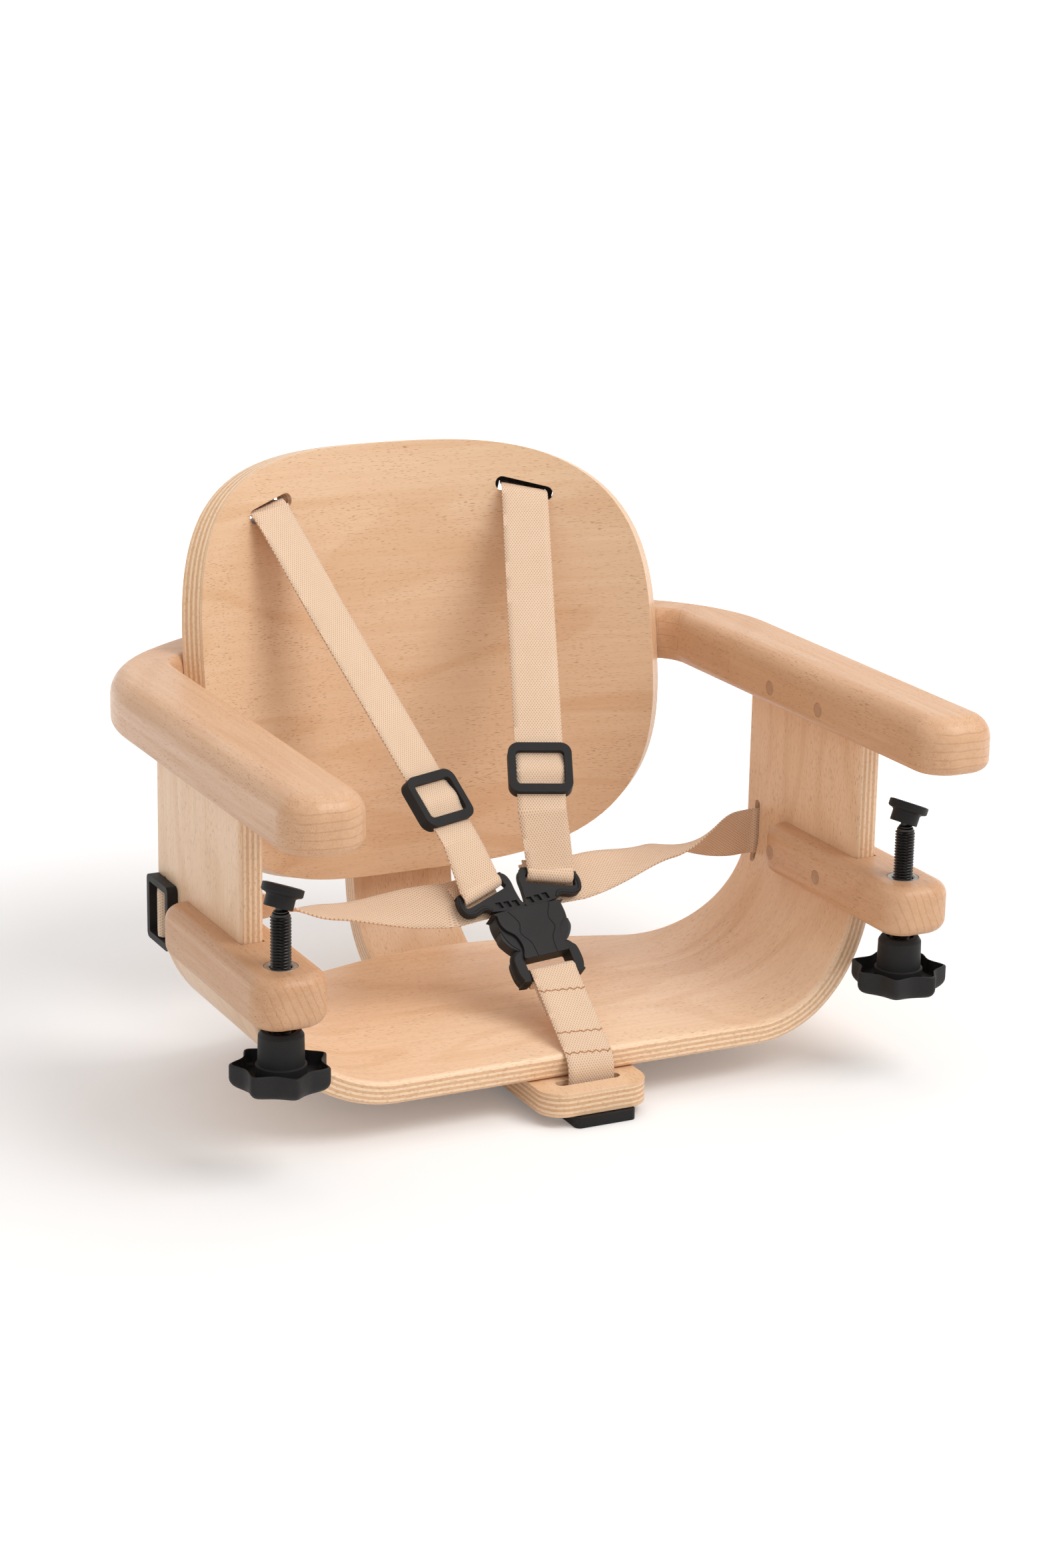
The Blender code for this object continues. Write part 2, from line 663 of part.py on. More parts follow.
def rear_rail():
    part = ring_blank("rear_rail")
    for side in (-1, 1):
        boolean(part, finger_region(side, GAP / 2))
    boolean(part, back_clearance())
    for seat, axis in rail_screws():
        boolean(part, screw_hole(seat, axis))
    return part


def clamp_block(side, word):
    radii = [BLOCK_REAR_ROUND, BLOCK_FRONT_ROUND, BLOCK_FRONT_ROUND, BLOCK_REAR_ROUND]
    middle = side * PANEL_MIDDLE
    outline = rounded_rectangle((middle - BLOCK_WIDTH / 2, BLOCK_FRONT),
                                (middle + BLOCK_WIDTH / 2, BLOCK_REAR), radii)
    part = add_part(f"{word}_clamp_block", prism_mesh([outline], BLOCK_BOTTOM, BLOCK_TOP), TIMBER)
    bevel(part, BLOCK_EDGE_ROUND, 2)
    boolean(part, panel_clearance(side))
    for y, z, start in dowel_places():
        if start == BLOCK_INNER:
            boolean(part, dowel_hole(side, y, z, start))
    seat = rod_mesh(INSERT_RADIUS + GAP, INSERT_HEIGHT + GAP + OVERRUN, ROUND_STEPS)
    place = Matrix.Translation((middle, CLAMP_Y, BLOCK_TOP - INSERT_HEIGHT - GAP))
    boolean(part, add_cutter("insert_seat", seat, place))
    bore = rod_mesh(ROD_HOLE, BLOCK_HEIGHT, ROUND_STEPS)
    place = Matrix.Translation((middle, CLAMP_Y, BLOCK_BOTTOM - OVERRUN))
    boolean(part, add_cutter("rod_hole", bore, place))


def clamp_frame(side, height):
    return Matrix.Translation((side * PANEL_MIDDLE, CLAMP_Y, height))


def thread_insert(side, word):
    bore = ROD_RADIUS + GAP
    bottom = BLOCK_TOP - INSERT_HEIGHT
    profile = [(bore, BLOCK_TOP), (INSERT_RADIUS, BLOCK_TOP), (INSERT_RADIUS, bottom),
               (bore, bottom), (bore, BLOCK_TOP)]
    add_part(f"{word}_thread_insert", turned_mesh(profile), ZINC, clamp_frame(side, 0))


def ball_profile(radius, start, end, steps):
    angles = [start + (end - start) * i / steps for i in range(steps + 1)]
    return [(radius * math.cos(a), radius * math.sin(a)) for a in angles]


def ball_stud(side, word):
    waist = -math.acos(NECK_RADIUS / BALL_RADIUS)
    profile = [(0, BALL_RADIUS)]
    profile += ball_profile(BALL_RADIUS, math.pi / 2, waist, 7)[1:]
    profile += [(NECK_RADIUS, -NECK_DROP), (NECK_FOOT_RADIUS, -NECK_FOOT_DROP),
                (SHANK_RADIUS, -NECK_FOOT_DROP), (SHANK_RADIUS, -ROD_DROP - SHANK_LENGTH),
                (0, -ROD_DROP - SHANK_LENGTH)]
    mesh = turned_mesh(profile, SMALL_ROUND_STEPS)
    add_part(f"{word}_ball_stud", mesh, STEEL, clamp_frame(side, PIVOT_Z))


def clamp_rod(side, word):
    bore = SHANK_RADIUS + GAP
    end = -ROD_DROP - ROD_LENGTH
    profile = [(0, -ROD_DROP - SHANK_LENGTH - GAP), (bore, -ROD_DROP - SHANK_LENGTH - GAP),
               (bore, -ROD_DROP), (ROD_TIP_RADIUS, -ROD_DROP),
               (ROD_RADIUS, -ROD_DROP - ROD_TIP_CHAMFER), (ROD_RADIUS, end), (0, end)]
    add_part(f"{word}_clamp_rod", turned_mesh(profile), STEEL, clamp_frame(side, PIVOT_Z))


def clamp_pad(side, word, heading):
    low = PAD_TOP - PAD_DISC
    mouth = -math.asin(SOCKET_MOUTH_DROP / SOCKET_RADIUS)
    profile = [(0, PAD_TOP), (PAD_RADIUS - PAD_EDGE, PAD_TOP),
               (PAD_RADIUS, PAD_TOP - PAD_EDGE), (PAD_RADIUS, low + PAD_EDGE),
               (PAD_RADIUS - PAD_EDGE, low), (BOSS_RADIUS, low - PAD_CONE),
               (BOSS_RADIUS, -BOSS_DROP), (SOCKET_FLARE, -BOSS_DROP)]
    profile += ball_profile(SOCKET_RADIUS, mouth, math.pi / 2, 5)[:-1]
    profile += [(0, SOCKET_RADIUS)]
    hinge = Vector((-math.sin(heading), math.cos(heading), 0))
    place = clamp_frame(side, PIVOT_Z) @ Matrix.Rotation(PAD_LEAN, 4, hinge)
    add_part(f"{word}_clamp_pad", turned_mesh(profile), PLASTIC, place)


def clamp_knob(side, word):
    turn = math.tau / KNOB_POINTS
    outline = []
    for i in range(KNOB_POINTS):
        dip = (0.5 - 0.5 * math.cos(KNOB_LOBES * i * turn)) ** 2
        radius = KNOB_RADIUS - KNOB_SCALLOP * dip
        outline.append((radius * math.sin(i * turn), radius * math.cos(i * turn)))
    part = add_part(f"{word}_clamp_knob", prism_mesh([outline], 0, KNOB_HEIGHT), PLASTIC,
                    clamp_frame(side, KNOB_BOTTOM))
    bevel(part, KNOB_EDGE, 1)
    top = KNOB_HEIGHT + HUB_HEIGHT
    groove = [(HUB_RADIUS, KNOB_HEIGHT + OVERRUN),
              (HUB_RADIUS + KNOB_GROOVE_WIDTH + KNOB_GROOVE, KNOB_HEIGHT + OVERRUN),
              (HUB_RADIUS + KNOB_GROOVE_WIDTH + KNOB_GROOVE, KNOB_HEIGHT),
              (HUB_RADIUS + KNOB_GROOVE_WIDTH, KNOB_HEIGHT - KNOB_GROOVE),
              (HUB_RADIUS, KNOB_HEIGHT - KNOB_GROOVE), (HUB_RADIUS, KNOB_HEIGHT + OVERRUN)]
    place = part.matrix_world
    boolean(part, add_cutter("knob_groove", turned_mesh(groove), place))
    hub = [(0, top), (HUB_RADIUS - HUB_EDGE, top), (HUB_RADIUS, top - HUB_EDGE),
           (HUB_RADIUS, KNOB_HEIGHT / 2), (0, KNOB_HEIGHT / 2)]
    boolean(part, add_cutter("knob_hub", turned_mesh(hub), place), "UNION")
    depth = PIVOT_Z - ROD_DROP - ROD_LENGTH - GAP - KNOB_BOTTOM
    bore = rod_mesh(ROD_RADIUS + GAP, top - depth + OVERRUN, ROUND_STEPS)
    place = place @ Matrix.Translation((0, 0, depth))
    boolean(part, add_cutter("knob_bore", bore, place))


def back_point(out, height, depth):
    """A point of the backrest: distance round it, up it and back from its middle."""
    angle = out / BACK_MIDDLE_RADIUS
    radius = BACK_MIDDLE_RADIUS + depth
    back = radius * math.cos(angle) - BACK_RADIUS
    return Vector((radius * math.sin(angle),
                   BACK_BOTTOM_Y + height * math.sin(BACK_LEAN) + back * math.cos(BACK_LEAN),
                   BACK_BOTTOM + height * math.cos(BACK_LEAN) - back * math.sin(BACK_LEAN)))


def bend_blank(mesh, axis, cuts, placed):
    """Cuts a flat blank into strips across an axis and moves its points."""
    work = bmesh.new()
    work.from_mesh(mesh)
    for cut in cuts:
        bmesh.ops.bisect_plane(work, geom=work.verts[:] + work.edges[:] + work.faces[:],
                               dist=MERGE, plane_co=axis * cut, plane_no=axis)
    for vert in work.verts:
        vert.co = placed(*vert.co)
    work.normal_update()
    bmesh.ops.recalc_face_normals(work, faces=work.faces)
    work.to_mesh(mesh)
    work.free()


def bend_panel(mesh):
    cuts = [BACK_HALF_WIDTH * (2 * i / BACK_STRIPS - 1) for i in range(1, BACK_STRIPS)]
    bend_blank(mesh, Vector((1, 0, 0)), cuts, back_point)


def back_outline():
    outline = []
    for i in range(BACK_POINTS):
        angle = math.tau * (i + 0.5) / BACK_POINTS
        across, up = math.sin(angle), math.cos(angle)
        size = (abs(across) ** BACK_POWER + abs(up) ** BACK_POWER) ** (-1 / BACK_POWER)
        outline.append((BACK_HALF_WIDTH * size * across,
                        BACK_HEIGHT / 2 * (1 + size * up)))
    return outline


def back_slots():
    return [long_slot(BACK_SLOT_LENGTH, BACK_SLOT_WIDTH,
                      (side * BACK_SLOT_OUT, BACK_SLOT_HEIGHT), -side * BACK_SLOT_SLOPE)
            for side in (-1, 1)]


def backrest():
    blank = add_part("back_blank", prism_mesh([back_outline()] + back_slots(),
                                              -PLY / 2, PLY / 2), PLYWOOD)
    bevel(blank, RIM_ROUND, 2)
    mesh = evaluated_mesh(blank)
    bpy.data.objects.remove(blank, do_unlink=True)
    bend_panel(mesh)
    part = add_part("backrest", mesh, PLYWOOD)
    for seat, axis in rail_screws() + spine_screws():
        boolean(part, screw_bite(seat, axis))
    return part


def spine_runs():
    """Lengths of the spine's flat run, its bend and its upright run."""
    turn = SPINE_BEND + PLY / 2
    square = math.pi / 2 - BACK_LEAN
    rise = PLY / 2 + turn * (1 - math.cos(square))
    wall = back_point(0, 0, PLY + GAP)
    bend_end = wall.y + (rise - wall.z) * math.tan(BACK_LEAN)
    flat = bend_end - turn * math.sin(square) - SPINE_FRONT
    top = ARM_BOTTOM - RIM_ROUND - rise - PLY / 2 * math.sin(BACK_LEAN)
    return flat, turn * square, top / math.cos(BACK_LEAN)


def spine_point(across, run, depth):
    """A point of the spine: across it, along it from the tab, and above its middle."""
    flat, bend, _ = spine_runs()
    turn = SPINE_BEND + PLY / 2
    angle = min(max((run - flat) / turn, 0), bend / turn)
    past = run - flat - turn * angle
    along_run = Vector((0, math.cos(angle), math.sin(angle)))
    inward = Vector((0, -math.sin(angle), math.cos(angle)))
    centre = Vector((across, SPINE_FRONT + flat, PLY / 2 + turn))
    return centre - inward * (turn - depth) + along_run * past


def spine():
    flat, bend, top = spine_runs()
    half = SPINE_WIDTH / 2
    outline = rounded_rectangle((-half, 0), (half, flat + bend + top),
                                [RIM_ROUND, SPINE_CORNER, SPINE_CORNER, RIM_ROUND])
    blank = add_part("spine_blank", prism_mesh([outline], -PLY / 2, PLY / 2), PLYWOOD)
    bevel(blank, SPINE_ROUND, 1)
    mesh = evaluated_mesh(blank)
    bpy.data.objects.remove(blank, do_unlink=True)
    cuts = [flat + bend * i / SPINE_STRIPS for i in range(SPINE_STRIPS + 1)]
    bend_blank(mesh, Vector((0, 1, 0)), cuts, spine_point)
    part = add_part("spine", mesh, PLYWOOD)
    slot = prism_mesh([long_slot(TAB_SLOT_LENGTH, TAB_SLOT_WIDTH, (0, TAB_SLOT_Y))],
                      -OVERRUN, PLY + OVERRUN)
    boolean(part, add_cutter("tab_slot", slot))
    for seat, axis in seat_screws() + spine_screws():
        boolean(part, screw_hole(seat, axis))
    return part


def seat_screws():
    """Where each screw's head starts, and the way the screw points."""
    return [(Vector((0, y, 0)), Vector((0, 0, 1))) for y in SEAT_SCREW_Y]


def spine_screws():
    forward = Vector((0, -math.cos(BACK_LEAN), math.sin(BACK_LEAN)))
    depth = PLY / 2 + GAP + PLY
    return [(back_point(0, rise, depth), forward) for rise in SPINE_SCREW_RISE]


def rail_screws():
    places = []
    for side in (-1, 1):
        axis = Vector((-side * RAIL_SCREW_X / RAIL_OUTER, 0, 0))
        axis.y = -math.sqrt(1 - axis.x ** 2)
        middle = Vector((0, RAIL_CENTRE_Y, ARM_BOTTOM + ARM_HEIGHT / 2))
        places.append((middle - axis * RAIL_OUTER, axis))
    return places


def screw_length(seat):
    """From the head's outer end to the point, for the piece under the head."""
    through = RAIL_OUTER - RAIL_INNER if seat.z > ARM_BOTTOM else PLY
    return through + SCREW_BITE


def screw_hole(seat, axis):
    """The clearance for a head and shank in the piece under the head."""
    length = screw_length(seat)
    deep = SCREW_HEAD + GAP
    sunk = [(0, deep + length), (SCREW_RADIUS + GAP, deep + length),
            (SCREW_RADIUS + GAP, deep), (SCREW_HEAD_RADIUS + GAP, deep),
            (SCREW_HEAD_RADIUS + GAP, -OVERRUN), (0, -OVERRUN)]
    return add_cutter("screw_hole", turned_mesh(sunk, SMALL_ROUND_STEPS), along(seat, axis))


def screw_bite(seat, axis):
    """The blind hole for a screw's point in the second piece."""
    length = screw_length(seat)
    mesh = rod_mesh(SCREW_RADIUS + GAP, length + GAP)
    return add_cutter("screw_bite", mesh, along(seat, axis))


def screws():
    names = (["front_seat_screw", "rear_seat_screw", "lower_spine_screw",
              "upper_spine_screw", "left_rail_screw", "right_rail_screw"])
    places = seat_screws() + spine_screws() + rail_screws()
    for name, (seat, axis) in zip(names, places):
        length = screw_length(seat)
        profile = [(0, length), (SCREW_RADIUS, length), (SCREW_RADIUS, SCREW_HEAD),
                   (SCREW_HEAD_RADIUS, SCREW_HEAD), (SCREW_HEAD_RADIUS, GAP), (0, GAP)]
        add_part(name, turned_mesh(profile, SMALL_ROUND_STEPS), STEEL, along(seat, axis))


def slider_mesh():
    """A flat slider with two windows. Its back lies GAP above its frame's origin."""
    half = (SLIDER_WIDTH / 2, SLIDER_LENGTH / 2)
    outline = rounded_rectangle((-half[0], -half[1]), half, [SLIDER_CORNER] * 4)
    wide = SLIDER_WIDTH / 2 - SLIDER_RAIL
    tall = SLIDER_LENGTH / 2 - SLIDER_RAIL
    bar = SLIDER_BAR / 2
    windows = [[(-wide, bar), (wide, bar), (wide, tall), (-wide, tall)],
               [(-wide, -tall), (wide, -tall), (wide, -bar), (-wide, -bar)]]
    return prism_mesh([outline] + windows, GAP, GAP + SLIDER_THICK)


def slider(name, place):
    part = add_part(name, slider_mesh(), PLASTIC, place)
    wide = SLIDER_WIDTH / 2 - SLIDER_RAIL
    low = GAP + SLIDER_BAR_THICK
    relief = box_mesh((-wide, -SLIDER_BAR, low), (wide, SLIDER_BAR, low + SLIDER_THICK))
    boolean(part, add_cutter("bar_relief", relief, place))


def slider_turn(place):
    """Webbing's turn round a slider's bar, from the near window to the far one."""
    height = GAP + SLIDER_BAR_THICK / 2
    spots = []
    for i in range(TURN_STEPS + 1):
        angle = math.pi * i / TURN_STEPS
        spots.append(place @ Vector((0, -WEB_TURN * math.cos(angle),
                                     height + WEB_TURN * math.sin(angle))))
    spots.append(place @ Vector((0, WEB_TURN, WEB_LAYER_GAP)))
    return spots


def web_strip(name, route, across):
    """Webbing along a route, with its width along its own across directions."""
    stations = []
    for i, place in enumerate(route):
        line = route[min(i + 1, len(route) - 1)] - route[max(i - 1, 0)]
        side = across[i] - line * (across[i].dot(line) / line.length_squared)
        side.normalize()
        half = side * (WEB_WIDTH / 2)
        stations.append((place - half, place + half))
    part = add_part(name, strip_mesh(stations), WEBBING)
    solidify(part, WEB_THICK)
    return part


def back_slider_frame(side):
    """Frame of the slider behind a shoulder slot, its Y along the wall, its Z back."""
    place = back_point(side * BACK_SLOT_OUT, BACK_SLOT_HEIGHT, PLY / 2)
    ends = []
    for share in (-1, 1):
        run = share * BACK_SLOT_LENGTH / 2
        ends.append(back_point(side * BACK_SLOT_OUT + run * math.cos(BACK_SLOT_SLOPE),
                               BACK_SLOT_HEIGHT - side * run * math.sin(BACK_SLOT_SLOPE),
                               PLY / 2))
    across = (ends[1] - ends[0]).normalized()
    out = place - back_point(side * BACK_SLOT_OUT, BACK_SLOT_HEIGHT, -PLY / 2)
    out = (out - across * out.dot(across)).normalized()
    up = out.cross(across)
    return frame_matrix(place - up * WEB_TURN + out * STRAP_STAND, -across, -up, out)


def adjuster_frame(side):
    """Frame of a shoulder adjuster: X across, Y up the strap, Z out."""
    place = Vector((side * ADJUSTER_PLACE.x + BUCKLE_SHIFT, ADJUSTER_PLACE.y, ADJUSTER_PLACE.z))
    up = -Vector((side * ADJUSTER_LINE.x, ADJUSTER_LINE.y, ADJUSTER_LINE.z)).normalized()
    across = Vector((ADJUSTER_ACROSS.x, side * ADJUSTER_ACROSS.y, side * ADJUSTER_ACROSS.z))
    across = -(across - up * across.dot(up)).normalized()
    return frame_matrix(place, across, up, across.cross(up))


def adjuster(side, word):
    half = (SLIDER_WIDTH / 2, SLIDER_LENGTH / 2)
    outline = rounded_rectangle((-half[0], -half[1]), half, [SLIDER_CORNER] * 4)
    deep = ADJUSTER_THICK / 2
    place = adjuster_frame(side)
    part = add_part(f"{word}_shoulder_adjuster", prism_mesh([outline], -deep, deep),
                    PLASTIC, place)
    bevel(part, SLIDER_EDGE, 1)
    wide = WEB_WIDTH / 2 + GAP
    web = WEB_THICK / 2 + GAP
    long = half[1] + OVERRUN
    window = ADJUSTER_WINDOW / 2
    bar = ADJUSTER_BAR / 2
    far = deep + OVERRUN
    spaces = (((-wide, -long, -web), (wide, long, web)),
              ((-wide, -window, 0), (wide, window, far)),
              ((-wide, -long, -far), (wide, -bar, 0)),
              ((-wide, bar, -far), (wide, long, 0)))
    for low, high in spaces:
        boolean(part, add_cutter("adjuster_space", box_mesh(low, high), place))


def buckle_frame():
    """Frame of the buckle: X across, Y up its face, Z out of its face."""
    up = Vector((0, math.cos(BUCKLE_SLOPE), math.sin(BUCKLE_SLOPE)))
    across = Vector((1, 0, 0))
    turned = across * math.cos(BUCKLE_TWIST) + up * math.sin(BUCKLE_TWIST)
    climb = up * math.cos(BUCKLE_TWIST) - across * math.sin(BUCKLE_TWIST)
    place = Vector((BUCKLE_SHIFT, BUCKLE_Y, BUCKLE_Z))
    return frame_matrix(place, turned, climb, turned.cross(climb))


def mirrored(points, side):
    """Half an outline put on one side, in an order that keeps its faces out."""
    return [(side * x, y) for x, y in points]


def tongue_slot_ends():
    return [Vector((x * TONGUE_WIDE, y * TONGUE_TALL)) for x, y in TONGUE_SLOT_SHARES]


def tongue(side, word):
    outline = [(x * TONGUE_WIDE, y * TONGUE_TALL) for x, y in TONGUE_SHARES]
    stem = [(TONGUE_STEM_OUTER, GAP), (TONGUE_STEM_OUTER, -TONGUE_STEM),
            (TONGUE_STEM_INNER, -TONGUE_STEM), (TONGUE_STEM_INNER, GAP)]
    inner, outer = tongue_slot_ends()
    line = (outer - inner).normalized()
    square = Vector((-line.y, line.x))
    rise = square * TONGUE_SLOT
    hole = [inner, outer, outer + rise, inner + rise]
    mesh = prism_mesh([mirrored(outline + stem, side), mirrored(hole, side)],
                      -TONGUE_DROP - TONGUE_THICK, -TONGUE_DROP)
    part = add_part(f"{word}_buckle_tongue", mesh, PLASTIC, buckle_frame())
    bevel(part, TONGUE_EDGE, 2)
    return part


def buckle_body():
    half = [(x * BUCKLE_HALF, -y * BUCKLE_LENGTH) for x, y in BUCKLE_SHARES[1:-1]]
    outline = half + [(-x, y) for x, y in reversed(half)]
    window_low = -BUCKLE_LENGTH + BUCKLE_BAR
    wide = WEB_WIDTH / 2 + 2 * GAP
    window = [(-wide, window_low), (wide, window_low),
              (wide, window_low + BUCKLE_WINDOW), (-wide, window_low + BUCKLE_WINDOW)]
    place = buckle_frame()
    part = add_part("buckle_body", prism_mesh([outline, window], -BUCKLE_THICK, 0),
                    PLASTIC, place)
    bevel(part, BUCKLE_EDGE, 2)
    front = -BUCKLE_THICK / 2 + BUCKLE_BAR / 2
    below = BUCKLE_THICK + OVERRUN
    bar_edge = window_low + BUCKLE_EDGE
    for low, high in ((front, front + below), (-below, front - BUCKLE_BAR)):
        relief = box_mesh((-wide, -BUCKLE_LENGTH - OVERRUN, low), (wide, bar_edge, high))
        boolean(part, add_cutter("bar_relief", relief, place))
    for side in (-1, 1):
        edges = sorted((side * (TONGUE_STEM_INNER - GAP), side * (TONGUE_STEM_OUTER + GAP)))
        cave = box_mesh((edges[0], -TONGUE_STEM - GAP, -TONGUE_DROP - TONGUE_THICK - GAP),
                        (edges[1], OVERRUN, -TONGUE_DROP + GAP))
        boolean(part, add_cutter("tongue_cave", cave, place))
        edges = sorted((side * (BUTTON_INNER - BUTTON_TRAVEL - GAP), side * BUCKLE_HALF * 2))
        middle = -BUCKLE_THICK / 2
        tall = BUTTON_THICK / 2 + GAP
        notch = box_mesh((edges[0], -BUTTON_TOP - BUTTON_LENGTH - GAP, middle - tall),
                         (edges[1], -BUTTON_TOP + GAP, middle + tall))
        boolean(part, add_cutter("button_notch", notch, place))


def release_button(side, word):
    middle = -BUCKLE_THICK / 2
    inner, outer = BUTTON_INNER, BUTTON_OUTER
    low = -BUTTON_TOP - BUTTON_LENGTH
    outline = [(inner + (outer - inner) * x, low + BUTTON_LENGTH * y)
               for x, y in BUTTON_SHARES]
    mesh = prism_mesh([mirrored(outline, side)], middle - BUTTON_THICK / 2,
                      middle + BUTTON_THICK / 2)
    part = add_part(f"{word}_release_button", mesh, PLASTIC, buckle_frame())
    bevel(part, BUTTON_EDGE, 2)


def shoulder_strap(side, word):
    """From the slider behind the backrest, through its slot, to the tongue."""
    stop = back_slider_frame(side)
    line = slider_turn(stop)
    line.reverse()
    x_across = [stop.to_3x3() @ Vector((-1, 0, 0))] * len(line)
    inside = stop @ Vector((0, -WEB_TURN, -PLY / 2))
    outside = stop @ Vector((0, -WEB_TURN, -PLY - STRAP_STAND))
    flat = adjuster_frame(side)
    flat_across = flat.to_3x3() @ Vector((1, 0, 0))
    high = flat @ Vector((0, ADJUSTER_UP_RUN, 0))
    low = flat @ Vector((0, -ADJUSTER_DOWN_RUN, 0))
    lead = (outside - inside).normalized() * (PLY * STRAP_LEAD_SHARE)
    turned, halfway = STRAP_DROP_SHARES
    sweep = smooth_route([inside, outside, outside.lerp(high, turned) + lead,
                          outside.lerp(high, halfway) + lead / 2, high], STRAP_STEPS)
    shares = [i / (len(sweep) - 1) for i in range(len(sweep))]
    route = line + sweep
    across = x_across + [x_across[0].lerp(flat_across, share) for share in shares]
    centre, along_bar, down = tongue_bar(side)
    out = buckle_frame().to_3x3() @ Vector((0, 0, 1))
    bight = []
    for i in range(BIGHT_STEPS + 1):
        angle = BIGHT_START + (BIGHT_END - BIGHT_START) * i / BIGHT_STEPS
        bight.append(centre + (out * math.cos(angle) + down * math.sin(angle)) * TONGUE_TURN)
    bight.append(bight[-1] - down * TONGUE_TAIL)
    mid = low.lerp(bight[0], 0.5) + out * GAP
    run = smooth_route([low, mid, bight[0]], WEB_STEPS)
    route += run + bight[1:]
    shares = [i / (len(run) - 1) for i in range(len(run))]
    across += [flat_across.lerp(along_bar, share) for share in shares]
    across += [along_bar] * (len(bight) - 1)
    return web_strip(f"{word}_shoulder_strap", route, across)


def tongue_bar(side):
    """Middle of a tongue's hidden bar, the way it runs and the way to its slot."""
    frame = buckle_frame()
    inner, outer = tongue_slot_ends()
    line = (outer - inner).normalized()
    square = Vector((-line.y, line.x))
    middle = (inner + outer) / 2 + square * (TONGUE_SLOT + TONGUE_BAR / 2)
    depth = -TONGUE_DROP - TONGUE_THICK / 2
    centre = frame @ Vector((side * middle.x, middle.y, depth))
    turn = frame.to_3x3()
    return (centre, turn @ Vector((line.x, side * line.y, 0)),
            turn @ Vector((-side * square.x, -square.y, 0)))


def waist_slider_frame(side):
    """Frame of the slider on a panel's outer face."""
    place = Vector((side * PANEL_OUTER, WAIST_SLOT_Y - WEB_TURN, WAIST_SLOT_Z))
    return frame_matrix(place, (0, 0, side), (0, -1, 0), (side, 0, 0))


def waist_strap(side, word):
    """From behind the tongue, twisting, through the panel's slot to its slider."""
    frame = buckle_frame()
    tail = -TONGUE_DROP - TONGUE_THICK / 2 - TONGUE_TURN - WEB_THICK - GAP
    start, leave = [frame @ Vector((side * TONGUE_WIDE * x, TONGUE_TALL * y, tail))
                    for x, y in WAIST_TAIL_SHARES]
    slot = Vector((side * PANEL_INNER, WAIST_SLOT_Y, WAIST_SLOT_Z))
    near = slot - Vector((side * PLY, 0, 0))
    half_way = leave.lerp(near, 0.5) - Vector((0, 0, STRAP_SAG))
    route = smooth_route([leave, half_way, near, slot], WAIST_STEPS)
    across = []
    for i in range(len(route)):
        place = i / WAIST_STEPS
        first = min(int(place), len(WAIST_TWISTS) - 2)
        share = place - first
        share = share * share * (3 - 2 * share)
        one, other = WAIST_TWISTS[first:first + 2]
        angle = one + (other - one) * share
        across.append(Vector((0, math.cos(angle), math.sin(angle))))
    loop = slider_turn(waist_slider_frame(side))
    route = [start] + route + loop
    across = [across[0]] + across + [across[-1]] * len(loop)
    return web_strip(f"{word}_waist_strap", route, across)


def tab_slider_frame():
    place = Vector((BUCKLE_SHIFT / 2, TAB_SLOT_Y - WEB_TURN, 0))
    return frame_matrix(place, (1, 0, 0), (0, -1, 0), (0, 0, -1))


def crotch_strap():
    """From the tab's slider, up through the tab and round the buckle's bar."""
    stop = tab_slider_frame()
    line = slider_turn(stop)
    line.reverse()
    frame = buckle_frame()
    bar = frame @ Vector((0, -BUCKLE_LENGTH + BUCKLE_BAR / 2, -BUCKLE_THICK / 2))
    turn = BUCKLE_BAR / 2 + WEB_THICK + CROTCH_TURN_GAP
    level = bar.z + turn
    foot = stop @ Vector((0, -WEB_TURN, 0))
    rise = Vector((foot.x, TAB_SLOT_Y, PLY))
    reach = bar.y - TAB_SLOT_Y
    climb = level - PLY
    up = [rise + Vector((0, reach * y, climb * z)) for y, z in CROTCH_RISE_SHARES]
    wrap = []
    for i in range(BIGHT_STEPS + 1):
        angle = math.pi * i / BIGHT_STEPS
        wrap.append(bar + Vector((0, turn * math.sin(angle), turn * math.cos(angle))))
    below = level - WEB_THICK * 2 - WEB_LAYER_GAP
    under = [Vector((bar.x, rise.y + reach * y, below - climb * z)) for y, z in CROTCH_END_SHARES]
    lead = smooth_route([foot, rise] + up + [wrap[0]], WEB_STEPS)
    back = smooth_route([wrap[-1]] + under, WEB_STEPS)
    route = line + lead[1:] + wrap[1:] + back[1:]
    for place in route:
        share = min(max((place.y - rise.y) / reach, 0), 1)
        place.x = foot.x + (bar.x - foot.x) * share
    straight = Vector((1, 0, 0))
    tilted = frame.to_3x3() @ straight
    across = [straight.lerp(tilted, min(max((p.y - rise.y) / reach, 0), 1)) for p in route]
    return web_strip("crotch_strap", route, across)


def build():
    seat_shell()
    backrest()
    spine()
    rear_rail()
    for side, word, heading in ((-1, "left", LEFT_PAD_HEADING), (1, "right", RIGHT_PAD_HEADING)):
        arm(side, word)
        dowels(side, word)
        clamp_block(side, word)
        thread_insert(side, word)
        ball_stud(side, word)
        clamp_rod(side, word)
        clamp_pad(side, word, heading)
        clamp_knob(side, word)
        slider(f"{word}_back_slider", back_slider_frame(side))
        slider(f"{word}_waist_slider", waist_slider_frame(side))
        adjuster(side, word)
        tongue(side, word)
        release_button(side, word)
        shoulder_strap(side, word)
        waist_strap(side, word)
    slider("crotch_slider", tab_slider_frame())
    crotch_strap()
    buckle_body()
    screws()


clear_scene()
PARTS = new_collection("hook_on_high_chair")
CUTTERS = new_collection("cutters")
build()
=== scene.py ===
"""Looks of the hook-on high chair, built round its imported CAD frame."""
import json
from math import acos, asin, atan2, ceil, cos, hypot, pi, radians, sin, sqrt, tan, tau

